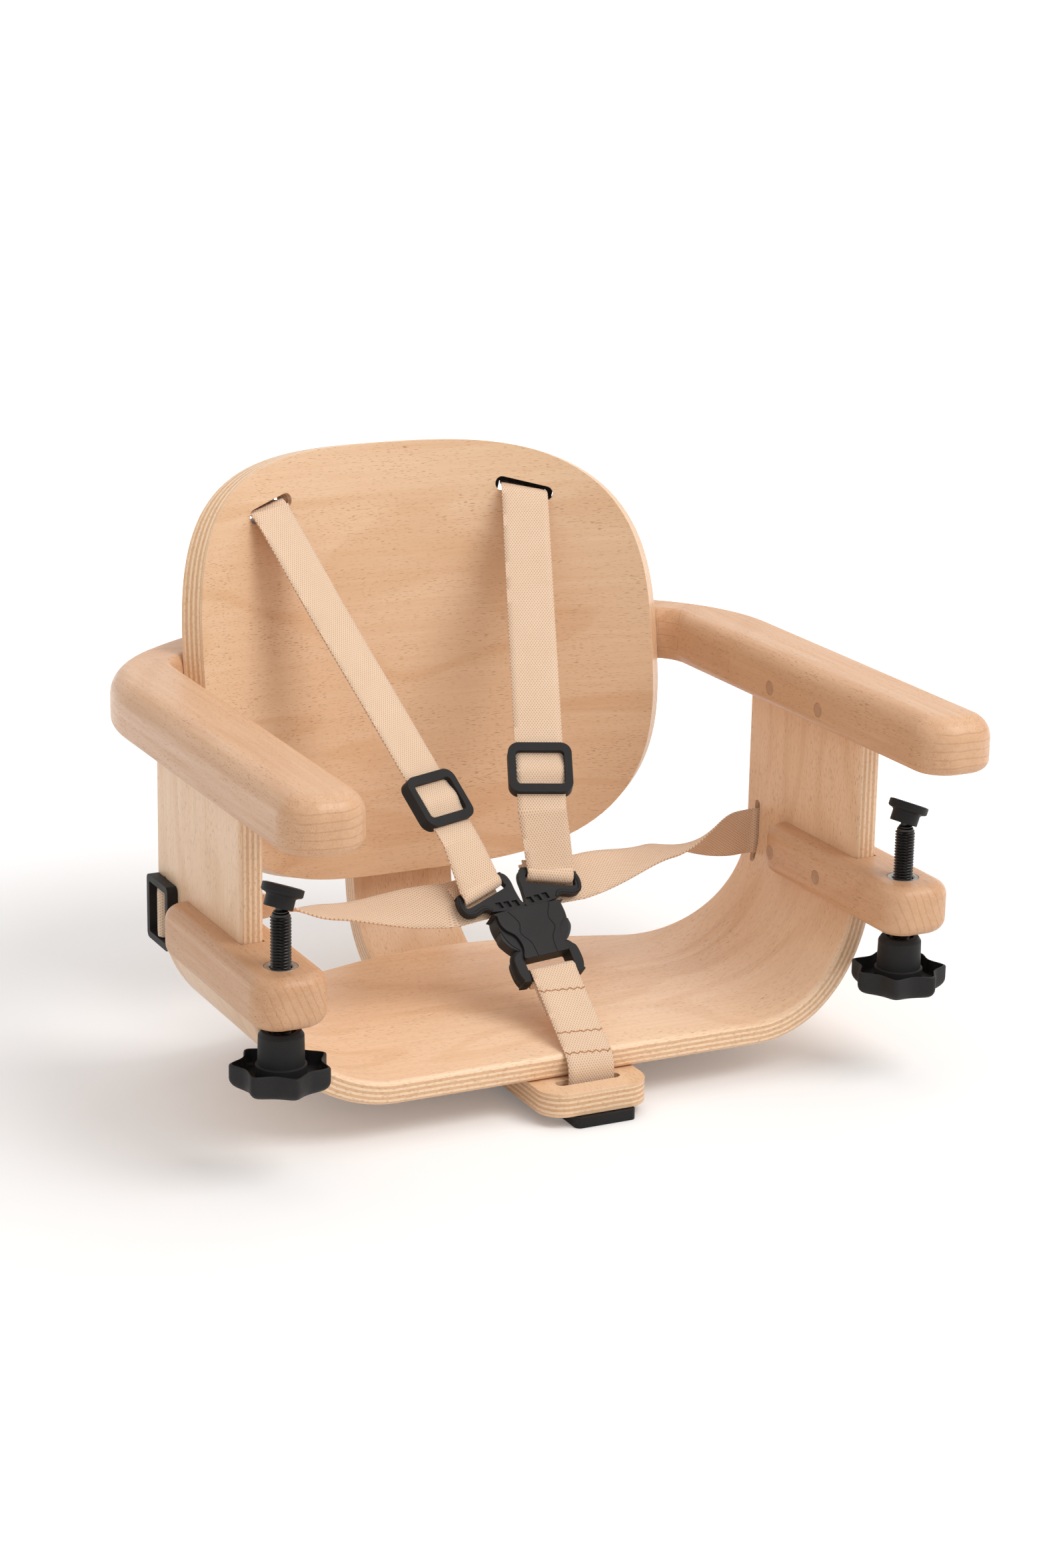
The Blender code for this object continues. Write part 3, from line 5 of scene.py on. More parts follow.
import bmesh
import bpy
from mathutils import Matrix, Vector, noise
from mathutils.bvhtree import BVHTree
from mathutils.interpolate import poly_3d_calc

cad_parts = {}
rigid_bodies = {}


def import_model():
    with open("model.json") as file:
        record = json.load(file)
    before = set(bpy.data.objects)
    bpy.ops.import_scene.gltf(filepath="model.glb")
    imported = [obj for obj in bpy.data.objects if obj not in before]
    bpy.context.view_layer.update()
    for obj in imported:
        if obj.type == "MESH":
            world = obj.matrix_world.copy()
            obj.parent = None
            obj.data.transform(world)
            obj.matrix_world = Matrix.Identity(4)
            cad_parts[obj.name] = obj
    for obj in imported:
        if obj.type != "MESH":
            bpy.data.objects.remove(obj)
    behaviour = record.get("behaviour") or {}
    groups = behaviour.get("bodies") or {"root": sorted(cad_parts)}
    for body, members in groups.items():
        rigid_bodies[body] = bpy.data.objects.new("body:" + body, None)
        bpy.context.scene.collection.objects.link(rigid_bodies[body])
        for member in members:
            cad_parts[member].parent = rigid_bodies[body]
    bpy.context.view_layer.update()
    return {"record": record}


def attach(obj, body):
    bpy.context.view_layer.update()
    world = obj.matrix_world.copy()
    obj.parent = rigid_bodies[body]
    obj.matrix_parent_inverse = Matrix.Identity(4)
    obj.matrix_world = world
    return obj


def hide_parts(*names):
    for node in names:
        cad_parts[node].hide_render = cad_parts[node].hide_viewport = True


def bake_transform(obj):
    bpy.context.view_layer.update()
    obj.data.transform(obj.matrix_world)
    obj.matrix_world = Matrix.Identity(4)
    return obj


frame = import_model()
RECORD = frame["record"]
BODY_OF = {n: body for body, nodes in RECORD["behaviour"]["bodies"].items() for n in nodes}
SLOT_OF = {row["node"]: row["material_slot"] for row in RECORD["subparts"]}
SIDES = ((-1, "left"), (1, "right"))
QUARTER = pi / 2
SCENE = bpy.context.scene
MAKE = bpy.data.collections.new("making")
SCENE.collection.children.link(MAKE)

# Sizes in metres. They are the CAD's, but the ring's corners and tips, the knobs' lobes,
# the buckle's length, the sliders behind the backrest and the adjusters' places are the photo's.
GAP = 0.0003
MERGE = 0.00002
OVERRUN = 0.004
PLY = 0.012
RIM = 0.0028
PANEL_OUTER, PANEL_DEPTH = 0.174, 0.112
PANEL_INNER = PANEL_OUTER - PLY
PANEL_MIDDLE = PANEL_OUTER - PLY / 2
SEAT_BEND, SEAT_FRONT, SEAT_REAR = 0.075, 0.014, 0.160
SEAT_MIDDLE = PLY + GAP + PLY / 2
SEAT_FLAT = PANEL_OUTER - SEAT_BEND
SEAT_TURN = SEAT_BEND - PLY / 2
SEAT_TURN_LENGTH = SEAT_TURN * QUARTER
ARM_BOTTOM, ARM_HEIGHT, ARM_FRONT = 0.1663, 0.028, -0.090
ARM_INNER, ARM_OUTER, ARM_TIP = 0.144, 0.186, 0.0175
PANEL_TOP = ARM_BOTTOM + 0.016
RAIL_CENTRE_Y, RAIL_INNER, RAIL_OUTER = 0.0127, 0.2073, 0.241
RAIL_EASE, EASE_START, EASE_END = 0.320, radians(27), radians(36)
CORNER_START, JOINT_ANGLE = radians(38.5), radians(42.6)
BLOCK_TOP, BLOCK_HEIGHT, BLOCK_WIDTH = 0.0993, 0.026, 0.038
BLOCK_FRONT, BLOCK_REAR = -0.056, 0.076
BLOCK_BOTTOM = BLOCK_TOP - BLOCK_HEIGHT
CLAMP_Y, PIVOT_Z = -0.0348, BLOCK_TOP + 0.0327
ROD_TOP, ROD_LENGTH, ROD_RADIUS = PIVOT_Z - 0.0066, 0.0795, 0.00495
THREAD_PITCH, THREAD_DEPTH = 0.0015, 0.0009
PAD_LEAN, PAD_HEADING = radians(22), {"left": radians(26), "right": radians(13)}
KNOB_BOTTOM, KNOB_RADIUS, KNOB_DIP, KNOB_LOBES = BLOCK_BOTTOM - 0.033, 0.0243, 0.0050, 7
KNOB_HEADING = {"left": radians(29.8), "right": radians(9.6)}
BACK_BOTTOM, BACK_BOTTOM_Y, BACK_HEIGHT, BACK_HALF = 0.0573, 0.190, 0.231, 0.1445
BACK_RADIUS, BACK_LEAN, BACK_SQUARENESS = 0.195, radians(9.5), 2.9
BACK_MIDDLE_RADIUS = BACK_RADIUS + PLY / 2
SLOT_OUT, SLOT_RISE, SLOT_SLOPE = 0.0777, 0.2014, radians(16)
SLOT_LONG, SLOT_WIDE = 0.029, 0.007
SPINE_WIDTH, SPINE_FRONT, SPINE_BEND = 0.058, -0.035, 0.040
TAB_SLOT_Y, TAB_SLOT_LENGTH, TAB_SLOT_WIDTH = -0.020, 0.0348, 0.0065
WAIST_SLOT_Y, WAIST_SLOT_Z, WAIST_SLOT = 0.100, BLOCK_TOP - 0.0133, (0.034, 0.005)
SEAT_SCREWS, SPINE_SCREWS, RAIL_SCREW_OUT = (0.050, 0.125), (0.040, 0.085), 0.050
RECESS_RADIUS, RECESS_DEPTH = 0.0048, 0.0033
WEB_WIDTH, WEB_THICK, WEB_TURN = 0.025, 0.0014, 0.003
BUCKLE_PLACE = Vector((0.004, 0.057, 0.0773))
BUCKLE_SLOPE, BUCKLE_TWIST = radians(45), radians(4.5)
BUCKLE_LENGTH, BUCKLE_HALF, BUCKLE_THICK = 0.0395, 0.0195, 0.011
TONGUE_WIDE, TONGUE_TALL, TONGUE_THICK, TONGUE_DROP = 0.035, 0.020, 0.0036, 0.0018
TONGUE_BAR, TONGUE_TURN = 0.0033, 0.0036
SLIDER_TALL, BACK_SLIDER_TALL, SLIDER_SEAT = 0.0145, 0.0128, 0.0026
ADJUSTER_PLACE = {-1: (-0.0297, 0.0940, 0.1268), 1: (0.0290, 0.0955, 0.1358)}
WEAVE_ACROSS, WEAVE_ALONG, WEAVE_THREAD = 0.00145, 0.0022, 0.00031
ROW_HEIGHTS, STITCHES, STITCH_RADIUS = (0.0238, 0.0296, 0.0440), 12, 0.00027
PLY_LAYERS, GROWTH_WIDTH = 9, 0.0041
FLOOR_Z = -0.0058

# Depth, height and inner end of each dowel
DOWELS = [(y, ARM_BOTTOM + 0.0096, ARM_INNER) for y in (0.014, 0.062)]
DOWELS += [(y, BLOCK_TOP - 0.0136, PANEL_MIDDLE - BLOCK_WIDTH / 2) for y in (0.0176, 0.064)]
# Radius and shifts of the inner and outer end, for a dowel and for its hole
DOWEL_ROD = 0.00368, 0.00005, 0.004
DOWEL_HOLE = 0.00375, -OVERRUN, 0.0043

# Outlines, as shares of a piece's reach to one side and of its height
TONGUE_SHARES = (
    (0.010, 0.020), (0.040, 0.250), (0.062, 0.560), (0.068, 0.800), (0.100, 0.980),
    (0.160, 1.080), (0.250, 1.095), (0.935, 0.730), (0.990, 0.640), (1.010, 0.470),
    (0.990, 0.270), (0.945, 0.150), (0.880, 0.098), (0.790, 0.092), (0.715, 0.130),
    (0.640, 0.175), (0.580, 0.150), (0.545, 0.090), (0.530, 0.015))
BEAD_SHARES = (
    (0.545, 0.15), (0.60, 0.245), (0.70, 0.225), (0.79, 0.165), (0.87, 0.16),
    (0.935, 0.205), (0.965, 0.33), (0.97, 0.47), (0.955, 0.60))
TONGUE_SLOT, TONGUE_SLOT_WIDE = ((0.165, 0.685), (0.890, 0.295)), 0.005
BUCKLE_SHARES = (
    (0.900, 0.000), (0.965, 0.030), (1.000, 0.120), (0.985, 0.240), (0.900, 0.400),
    (0.770, 0.500), (0.680, 0.545), (0.690, 0.575), (0.800, 0.600), (0.900, 0.640),
    (0.940, 0.720), (0.940, 0.860), (0.880, 0.960), (0.760, 1.000))
SHIELD_SHARES = (
    (0.90, 0.004), (0.945, 0.05), (0.945, 0.16), (0.86, 0.26), (0.66, 0.36),
    (0.59, 0.48), (0.60, 0.58), (0.66, 0.655), (0.64, 0.695), (0.40, 0.70))


# Numbers and outlines
def spread(start, end, count):
    """Even steps from start to end, both included."""
    return [start + (end - start) * i / count for i in range(count + 1)]


def clamped(value):
    """Kept between nought and one."""
    return min(max(value, 0), 1)


def fading(share):
    """Falls from one to nought as a half wave."""
    return 0.5 + 0.5 * cos(pi * share)


def arc(centre, radius, start, end, step=radians(3)):
    """Points of a circle between two headings, clockwise from +Y."""
    count = max(2, ceil(abs(end - start) / step))
    return [(centre[0] + radius * sin(a), centre[1] + radius * cos(a))
            for a in spread(start, end, count)]


def round_points(radius, start, end, count):
    """Points of a circle round the origin, anticlockwise from +X."""
    return [(radius * cos(a), radius * sin(a)) for a in spread(start, end, count)]


def rounded_rectangle(low, high, *radii, step=radians(9)):
    """One radius for all corners, or four radii clockwise from the upper right."""
    corners = ((high[0], high[1], -1, -1), (high[0], low[1], -1, 1),
               (low[0], low[1], 1, 1), (low[0], high[1], 1, -1))
    outline = []
    for k, (x, y, side, end) in enumerate(corners):
        radius, start = radii[k % len(radii)], k * QUARTER
        outline += arc((x + side * radius, y + end * radius), radius, start,
                       start + QUARTER, step)
    return outline


def centred(wide, tall, radius):
    return rounded_rectangle((-wide, -tall), (wide, tall), radius)


def long_slot(length, width, centre=(0, 0), tilt=0):
    half, step = (length - width) / 2, radians(15)
    points = arc((half, 0), width / 2, 0, pi, step)
    points += arc((-half, 0), width / 2, pi, tau, step)
    turned_points = (Matrix.Rotation(tilt, 2) @ Vector(point) for point in points)
    return [(centre[0] + x, centre[1] + y) for x, y in turned_points]


def curve(a, b, c, d, count):
    """A Catmull-Rom curve's points from b up to c."""
    return [(b * 2 + (c - a) * t + (a * 2 - b * 5 + c * 4 - d) * t * t
             + (b * 3 - a - c * 3 + d) * t ** 3) / 2 for t in spread(0, 1, count)[:-1]]


def smooth_outline(points, count):
    """A closed curve through points."""
    points = [Vector(p) for p in points]
    ends = points[-1:] + points + points[:2]
    return [p for k in range(len(points)) for p in curve(*ends[k:k + 4], count)]


def smooth_route(points, count):
    """An open curve through points."""
    ends = [points[0] * 2 - points[1], *points, points[-1] * 2 - points[-2]]
    route = [p for k in range(len(points) - 1) for p in curve(*ends[k:k + 4], count)]
    return route + [points[-1].copy()]


def rounded_profile(profile, radius):
    """Rounds the inner corners of a profile of radius and height."""
    points = [Vector(p) for p in profile]
    done = [points[0]]
    for a, b, c in zip(points, points[1:], points[2:]):
        r = min(radius, (a - b).length * 0.45, (c - b).length * 0.45)
        one, two = b + (a - b).normalized() * r, b + (c - b).normalized() * r
        done += [one * (1 - t) ** 2 + b * 2 * t * (1 - t) + two * t * t for t in spread(0, 1, 4)]
    return [tuple(p) for p in done + [points[-1]]]


def inset(outline, depth, shares):
    """The outline moved inwards along its corners' bisectors, each by its share."""
    points = [Vector(p[:2]) for p in outline]
    after = points[1:] + points[:1]
    turn = 1 if sum(a.cross(b) for a, b in zip(points, after)) > 0 else -1
    moved_in = []
    for a, b, c, share in zip(points[-1:] + points[:-1], points, after, shares):
        one, two = (b - a).normalized(), (c - b).normalized()
        normal = Vector((-one.y, one.x)) * turn
        bisector = (normal + Vector((-two.y, two.x)) * turn).normalized()
        moved_in.append(b + bisector * (depth * share) / max(0.35, bisector.dot(normal)))
    return moved_in


# Frames
def frame_matrix(origin, x_axis, y_axis, z_axis):
    columns = Matrix((x_axis, y_axis, z_axis)).transposed()
    return Matrix.Translation(origin) @ columns.to_4x4()


def along(origin, axis):
    return Matrix.Translation(origin) @ axis.to_track_quat("Z", "Y").to_matrix().to_4x4()


# Mesh tools
def to_object(name, mesh, place=Matrix()):
    made = bpy.data.objects.new(name, mesh)
    made.matrix_world = place
    MAKE.objects.link(made)
    return made


def modifier(thing, kind, **values):
    step = thing.modifiers.new(kind.lower(), kind)
    for key, value in values.items():
        setattr(step, key, value)


def bevel(thing, width, segments, angle=50):
    modifier(thing, "BEVEL", width=width, segments=segments,
             limit_method="ANGLE", angle_limit=radians(angle))


def cut(thing, mesh, place=Matrix(), operation="DIFFERENCE"):
    cutter = to_object("cutter", mesh, place)
    modifier(thing, "BOOLEAN", object=cutter, operation=operation, solver="EXACT")


def taken(thing):
    """An object's mesh in world coordinates, with its modifiers applied. The object goes."""
    bpy.context.view_layer.update()
    mesh = bpy.data.meshes.new_from_object(
        thing.evaluated_get(bpy.context.evaluated_depsgraph_get()))
    mesh.transform(thing.matrix_world)
    bpy.data.objects.remove(thing)
    return mesh


def bake(thing, place=Matrix()):
    """Cutters stand in the world, so a piece is baked before it goes to its place."""
    return to_object(thing.name, taken(thing), place)


def edged(mesh, *edge, place=Matrix()):
    """A baked object with bevelled edges."""
    part = to_object("piece", mesh, place)
    bevel(part, *edge)
    return bake(part)


def opened(*meshes):
    work = bmesh.new()
    for mesh in meshes:
        work.from_mesh(mesh)
    return work


def settled(work, mesh=None, outward=False):
    """The mesh of a bmesh, which is freed."""
    if outward:
        work.normal_update()
        bmesh.ops.recalc_face_normals(work, faces=work.faces)
    mesh = mesh or bpy.data.meshes.new("piece")
    work.to_mesh(mesh)
    work.free()
    return mesh


def join(parts):
    return to_object("piece", settled(opened(*[taken(part) for part in parts])))


def prism(outlines, low, high):
    """An outline with its holes, from one height to another."""
    flat = bpy.data.curves.new("outline", "CURVE")
    flat.dimensions, flat.fill_mode, flat.extrude = "2D", "BOTH", (high - low) / 2
    for outline in outlines:
        line = flat.splines.new("POLY")
        line.points.add(len(outline) - 1)
        line.use_cyclic_u = True
        for point, place in zip(line.points, outline):
            point.co = (place[0], place[1], 0, 1)
    mesh = taken(to_object("outline", flat))
    work = opened(mesh)
    bmesh.ops.remove_doubles(work, verts=work.verts, dist=MERGE)
    bmesh.ops.dissolve_limit(work, angle_limit=radians(0.05),
                             verts=work.verts, edges=work.edges)
    bmesh.ops.translate(work, verts=work.verts, vec=(0, 0, (low + high) / 2))
    return settled(work, mesh, outward=True)


def box(one, other):
    """A box between any two opposite corners."""
    work = bmesh.new()
    bmesh.ops.create_cube(work, size=1)
    size = [abs(b - a) for a, b in zip(one, other)]
    middle = [(a + b) / 2 for a, b in zip(one, other)]
    bmesh.ops.transform(work, verts=work.verts,
                        matrix=Matrix.Translation(middle) @ Matrix.Diagonal(size + [1]))
    return settled(work)


def rod(radius, length, steps=32):
    work = bmesh.new()
    bmesh.ops.create_cone(work, cap_ends=True, segments=steps, radius1=radius,
                          radius2=radius, depth=length)
    bmesh.ops.translate(work, verts=work.verts, vec=(0, 0, length / 2))
    return settled(work)


def turned(profile, steps=64):
    """A profile of radius and height, turned about Z."""
    line = bpy.data.meshes.new("profile")
    line.from_pydata([(r, 0, h) for r, h in profile],
                     [(i, i + 1) for i in range(len(profile) - 1)], [])
    guide = to_object("profile", line)
    modifier(guide, "SCREW", axis="Z", angle=tau, steps=steps, render_steps=steps,
             use_merge_vertices=True, merge_threshold=MERGE)
    mesh = taken(guide)
    return settled(opened(mesh), mesh, outward=True)


def loft(rings, closed=True):
    """Quads between rings of equal counts. Closed rings get end caps."""
    work = bmesh.new()
    rows = [[work.verts.new(p) for p in ring] for ring in rings]
    count = len(rows[0])
    for one, two in zip(rows, rows[1:]):
        for i in range(count if closed else count - 1):
            j = (i + 1) % count
            work.faces.new((one[i], one[j], two[j], two[i]))
    if closed:
        work.faces.new(rows[0][::-1])
        work.faces.new(rows[-1])
    return settled(work, outward=True)


def rounded_prism(outline, low, high, low_round, high_round, steps, shares=None):
    """A prism whose edges are rounded, as a clean loft."""
    shares = shares or [1] * len(outline)
    rings = []
    for radius, height, sign in ((low_round, low, 1), (high_round, high, -1)):
        part = []
        for a in spread(0, QUARTER, steps):
            z = height + sign * radius * (1 - cos(a))
            part.append([(*p, z) for p in inset(outline, radius * (1 - sin(a)), shares)])
        rings += part[::sign]
    return loft(rings)


def tube(points, radius, steps):
    """A round bar along points, with domed ends."""
    last = len(points) - 1
    dome = ((0.05, -0.98), (0.6, -0.75), (0.9, -0.4))
    stations = [(0, size, shift) for size, shift in dome]
    stations += [(i, 1, 0) for i in range(last + 1)]
    stations += [(last, size, -shift) for size, shift in dome[::-1]]
    rings = []
    for i, size, shift in stations:
        line = (points[min(i + 1, last)] - points[max(i - 1, 0)]).normalized()
        side = line.cross(Vector((0.3, 0.2, 0.93))).normalized()
        top = side.cross(line)
        middle = points[i] + line * shift * radius
        rings.append([middle + (side * cos(a) + top * sin(a)) * radius * size
                      for a in spread(0, tau, steps)[:-1]])
    return loft(rings)


def set_vectors(mesh, name, vectors):
    """A vector for each vertex, in place of an older layer of that name."""
    if mesh.attributes.get(name):
        mesh.attributes.remove(mesh.attributes[name])
    layer = mesh.attributes.new(name, "FLOAT_VECTOR", "POINT")
    for row, vector in zip(layer.data, vectors):
        row.vector = vector


# Materials
def srgb(r, g, b):
    def channel(v):
        v /= 255
        return v / 12.92 if v <= 0.04045 else ((v + 0.055) / 1.055) ** 2.4
    return (channel(r), channel(g), channel(b), 1)


def shaded(colour, *factors, plus=0):
    """A colour with its channels multiplied."""
    return tuple(c * f + plus for c, f in zip(colour, factors)) + (1,)


class Nodes:
    """Short calls for building the nodes of a material or world."""

    def __init__(self, owner, **shader):
        self.owner = owner
        owner.use_nodes = True
        self.tree = owner.node_tree
        if shader:
            self.shader = self.tree.nodes["Principled BSDF"].inputs
        for key, value in shader.items():
            self.shader[key.replace("_", " ")].default_value = value

    def put(self, value, socket):
        if isinstance(value, bpy.types.NodeSocket):
            self.tree.links.new(value, socket)
        else:
            socket.default_value = value

    def node(self, kind, inputs, **values):
        """A node's outputs. Its inputs are given by name or number."""
        made = self.tree.nodes.new("ShaderNode" + kind)
        for key, value in values.items():
            setattr(made, key, value)
        for key, value in inputs.items():
            self.put(value, made.inputs[key])
        return made.outputs

    def math(self, operation, *values):
        return self.node("Math", dict(enumerate(values)), operation=operation)[0]

    def plus(self, one, other):
        return self.math("ADD", one, other)

    def times(self, one, other):
        return self.math("MULTIPLY", one, other)

    def wave(self, value, factor, kind="SINE"):
        return self.math(kind, self.times(value, factor))

    def attribute(self, name):
        return self.node("Attribute", {}, attribute_name=name)["Vector"]

    def place(self):
        return self.node("TexCoord", {})["Object"]

    def split(self, vector):
        return self.node("SeparateXYZ", {0: vector})

    def noise(self, vector, scale, detail=2, roughness=0.5, distortion=0, shift=(0, 0, 0)):
        """Noise with one scale, or with a scale for each axis."""
        if isinstance(scale, tuple):
            rows = {"Vector": vector, "Scale": scale, "Location": shift}
            vector, scale = self.node("Mapping", rows)[0], 1
        return self.node("TexNoise", {"Vector": vector, "Scale": scale, "Detail": detail,
                                      "Roughness": roughness, "Distortion": distortion})["Fac"]

    def ramp(self, value, low, high, out_low=0, out_high=1, kind="LINEAR"):
        rows = {"Value": value, "From Min": low, "From Max": high,
                "To Min": out_low, "To Max": out_high}
        return self.node("MapRange", rows, interpolation_type=kind)[0]

    def soft(self, *values):
        return self.ramp(*values, kind="SMOOTHSTEP")

    def mix(self, share, one, other):
        """Inputs 6 and 7 are the node's two colours."""
        return self.node("Mix", {0: share, 6: one, 7: other}, data_type="RGBA")[2]

    def rays(self, *kinds):
        """One for these kinds of ray, nought for the others."""
        path = self.node("LightPath", {})
        seen = path[f"Is {kinds[0]} Ray"]
        for kind in kinds[1:]:
            seen = self.math("MAXIMUM", seen, path[f"Is {kind} Ray"])
        return seen

    def finish(self, colour, height, strength, distance, roughness=None):
        """Colour, bump and roughness go to the shader."""
        self.put(colour, self.shader["Base Color"])
        rows = {"Strength": strength, "Distance": distance, "Height": height}
        self.put(self.node("Bump", rows)[0], self.shader["Normal"])
        if roughness:
            self.put(roughness, self.shader["Roughness"])
        return self.owner


def material(name, **shader):
    return Nodes(bpy.data.materials.new(name), **shader)


def growth_lines(n, grain, base, fleck):
    """Lines of growth, clear on the end grain and faint elsewhere."""
    shake = n.times(n.noise(grain, (20, 45, 45), 3), 0.0042)
    layer = n.plus(n.split(grain)[2], shake)
    facing = n.split(n.node("NewGeometry", {})["Normal"])[1]
    end = n.soft(n.math("ABSOLUTE", facing), 0.55, 0.85, 0.04, 0.24)
    line = n.soft(n.wave(layer, tau / GROWTH_WIDTH), 0.72, 1.0)
    return n.mix(n.times(line, end), base, fleck)


def ply_edge(n, grain, base, light, dark, fleck):
    """The layers with their glue lines, where the surface lies deep in the sheet."""
    depth = n.split(grain)[2]
    edge = n.ramp(n.math("ABSOLUTE", depth), PLY / 2 - 0.0016, PLY / 2 - 0.0012, 1, 0)
    shake = n.times(n.noise(grain, (12, 30, 1)), 0.35)
    turn = n.wave(n.plus(n.times(depth, PLY_LAYERS / PLY), shake), pi)
    glue = n.ramp(n.math("ABSOLUTE", turn), 0, 0.30, 1, 0)
    pores = n.noise(grain, (520, 520, 900))
    ply = n.mix(n.soft(turn, -0.25, 0.25), shaded(light, 1.02, 1.02, 1.0),
                shaded(dark, 0.96, 0.93, 0.91))
    ply = n.mix(n.ramp(pores, 0.5, 0.75, 0, 0.35), ply, fleck)
    ply = n.mix(n.times(glue, 0.15), ply, srgb(126, 84, 52))
    return n.mix(edge, base, ply)


def wood(name, light, dark, fleck, figure=1.0, plies=False, rings=False):
    """Beech. The grain attribute holds metres along the grain, across it and deep."""
    n = material(name, Roughness=0.42, Specular_IOR_Level=0.4, Coat_Weight=0.14,
                 Coat_Roughness=0.24)
    grain = n.attribute("grain")
    wave = n.noise(grain, (3.6, 11, 11), distortion=0.5)
    contour = n.soft(n.wave(wave, 50), 0.2, 1)
    streak = n.noise(grain, (18, 420, 420), 3, 0.6)
    fine = n.noise(grain, (90, 2600, 2600))
    tone = n.plus(n.times(contour, 0.34 * figure), n.times(streak, 0.9))
    tone = n.ramp(n.plus(tone, n.times(wave, 0.8)), 0.42, 1.48)
    base = n.mix(tone, light, dark)
    dashes = n.soft(n.noise(grain, (300, 2300, 2300), 1, 0.4), 0.615, 0.68)
    patch = n.ramp(n.noise(grain, (30, 60, 60), 1, shift=(3, 1, 2)), 0.3, 0.7, 0.35, 1)
    spots = n.times(dashes, patch)
    base = n.mix(n.times(spots, 0.62), base, fleck)
    base = n.mix(n.ramp(fine, 0.3, 0.7, 0, 0.16), base, dark)
    if rings:
        base = growth_lines(n, grain, base, fleck)
    if plies:
        base = ply_edge(n, grain, base, light, dark, fleck)
    height = n.math("SUBTRACT", n.times(fine, 0.4), spots)
    return n.finish(base, height, 0.25, 0.0001, n.ramp(streak, 0.3, 0.7, 0.36, 0.50))


def webbing_material(name, light, dark):
    """Woven webbing. The weave attribute holds metres across and along."""
    n = material(name, Roughness=0.86, Sheen_Weight=0.25, Sheen_Roughness=0.5)
    weave = n.attribute("weave")
    shaken = n.noise(weave, (220, 220, 1))
    across, run, _ = n.split(weave)
    u = n.math("COSINE", n.plus(n.times(across, tau / WEAVE_ACROSS), n.times(shaken, 0.8)))
    v = n.math("COSINE", n.plus(n.times(run, tau / WEAVE_ALONG),
                                n.times(n.plus(shaken, across), 0.7)))
    lift = n.ramp(n.times(u, v), -1, 1)
    threads = n.wave(run, tau / WEAVE_THREAD)
    cloud = n.noise(weave, (60, 40, 1), 3)
    base = n.mix(n.soft(lift, 0.08, 0.52), dark, light)
    base = n.mix(n.ramp(cloud, 0.3, 0.75, 0, 0.16), base, dark)
    base = n.mix(n.ramp(threads, -1, 1, 0, 0.07), base, dark)
    return n.finish(base, n.plus(lift, n.times(threads, 0.06)), 0.75, 0.0003)


def plastic(name, colour, roughness, grain=0.00008, shine=0.15):
    n = material(name, Roughness=roughness, Specular_IOR_Level=shine)
    fine = n.noise(n.place(), 2600, 2, 0.6)
    cloud = n.noise(n.place(), 60, 3)
    lighter = shaded(colour, 1.7, 1.7, 1.7, plus=0.004)
    base = n.mix(n.ramp(cloud, 0.35, 0.75, 0, 0.5), colour, lighter)
    base = n.mix(n.ramp(fine, 0.45, 0.75, 0, 0.45), base, lighter)
    return n.finish(base, fine, 0.35, grain,
                    n.ramp(cloud, 0.3, 0.7, roughness - 0.05, roughness + 0.08))


def metal(name, colour, roughness):
    n = material(name, Metallic=1.0, Roughness=roughness)
    rings = n.noise(n.place(), (300, 300, 3000))
    cloud = n.noise(n.place(), 140, 3)
    base = n.mix(n.ramp(cloud, 0.35, 0.7, 0, 0.7), colour, shaded(colour, 0.6, 0.6, 0.6))
    return n.finish(base, rings, 0.15, 0.00005,
                    n.ramp(rings, 0.3, 0.7, roughness - 0.06, roughness + 0.10))


FLECK = srgb(160, 110, 72)
SOLID = srgb(222, 180, 143), srgb(200, 150, 110), srgb(148, 98, 60), 0.6
RAIL_BEECH = wood("beech_rail", *SOLID)
# The seat shell's copy of the plywood is painted lighter than the backrest's, as painted light
# against the shade it gets between the arms and panels.
SEAT_PLYWOOD_PAINTED_LIGHTER = wood("beech_plywood_seat_painted_lighter", srgb(248, 215, 182), srgb(230, 189, 149), FLECK,
                   plies=True)
KNOB_PLASTIC = plastic("black_knob_plastic", srgb(33, 32, 32), 0.55, 0.00016, 0.2)
BUTTON_PLASTIC = plastic("button_plastic", srgb(44, 44, 45), 0.5)
THREAD = plastic("stitching_thread", srgb(170, 120, 82), 0.8, 0.0001)
RULES = {
    "solid_beech": wood("beech_solid", *SOLID, rings=True),
    "bent_plywood": wood("beech_plywood", srgb(237, 204, 170), srgb(219, 176, 135), FLECK,
                         plies=True),
    "dowel_wood": wood("dowel_end_grain", srgb(198, 158, 126), srgb(172, 128, 96), FLECK, 0.3),
    "webbing": webbing_material("tan_webbing", srgb(236, 208, 180), srgb(196, 154, 120)),
    "black_plastic": plastic("black_moulded_plastic", srgb(32, 31, 31), 0.5),
    "zinc": metal("zinc_plate", srgb(176, 172, 166), 0.38),
    "blackened_steel": metal("blackened_steel", srgb(66, 64, 63), 0.34)}


def stand(thing, node, own=None, grain=None, bent=None, angle=38, weighted=True):
    """The piece, smoothed, stands for a CAD node and moves with its body; a bent piece is only
    baked in world place.
    """
    thing = bake(thing)
    thing.data.shade_smooth()
    thing.data.set_sharp_from_angle(angle=radians(angle))
    if weighted:
        modifier(thing, "WEIGHTED_NORMAL", keep_sharp=True, weight=100)
        thing = bake(thing)
    thing.name = thing.data.name = node + "_look"
    thing.data.materials.clear()
    thing.data.materials.append(own or RULES[SLOT_OF[node]])
    if grain:
        set_vectors(thing.data, "grain", [Vector(grain(*v.co)) for v in thing.data.vertices])
    MAKE.objects.unlink(thing)
    SCENE.collection.objects.link(thing)
    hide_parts(node)
    if bent:
        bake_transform(thing)
    else:
        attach(thing, BODY_OF[node])
    return thing


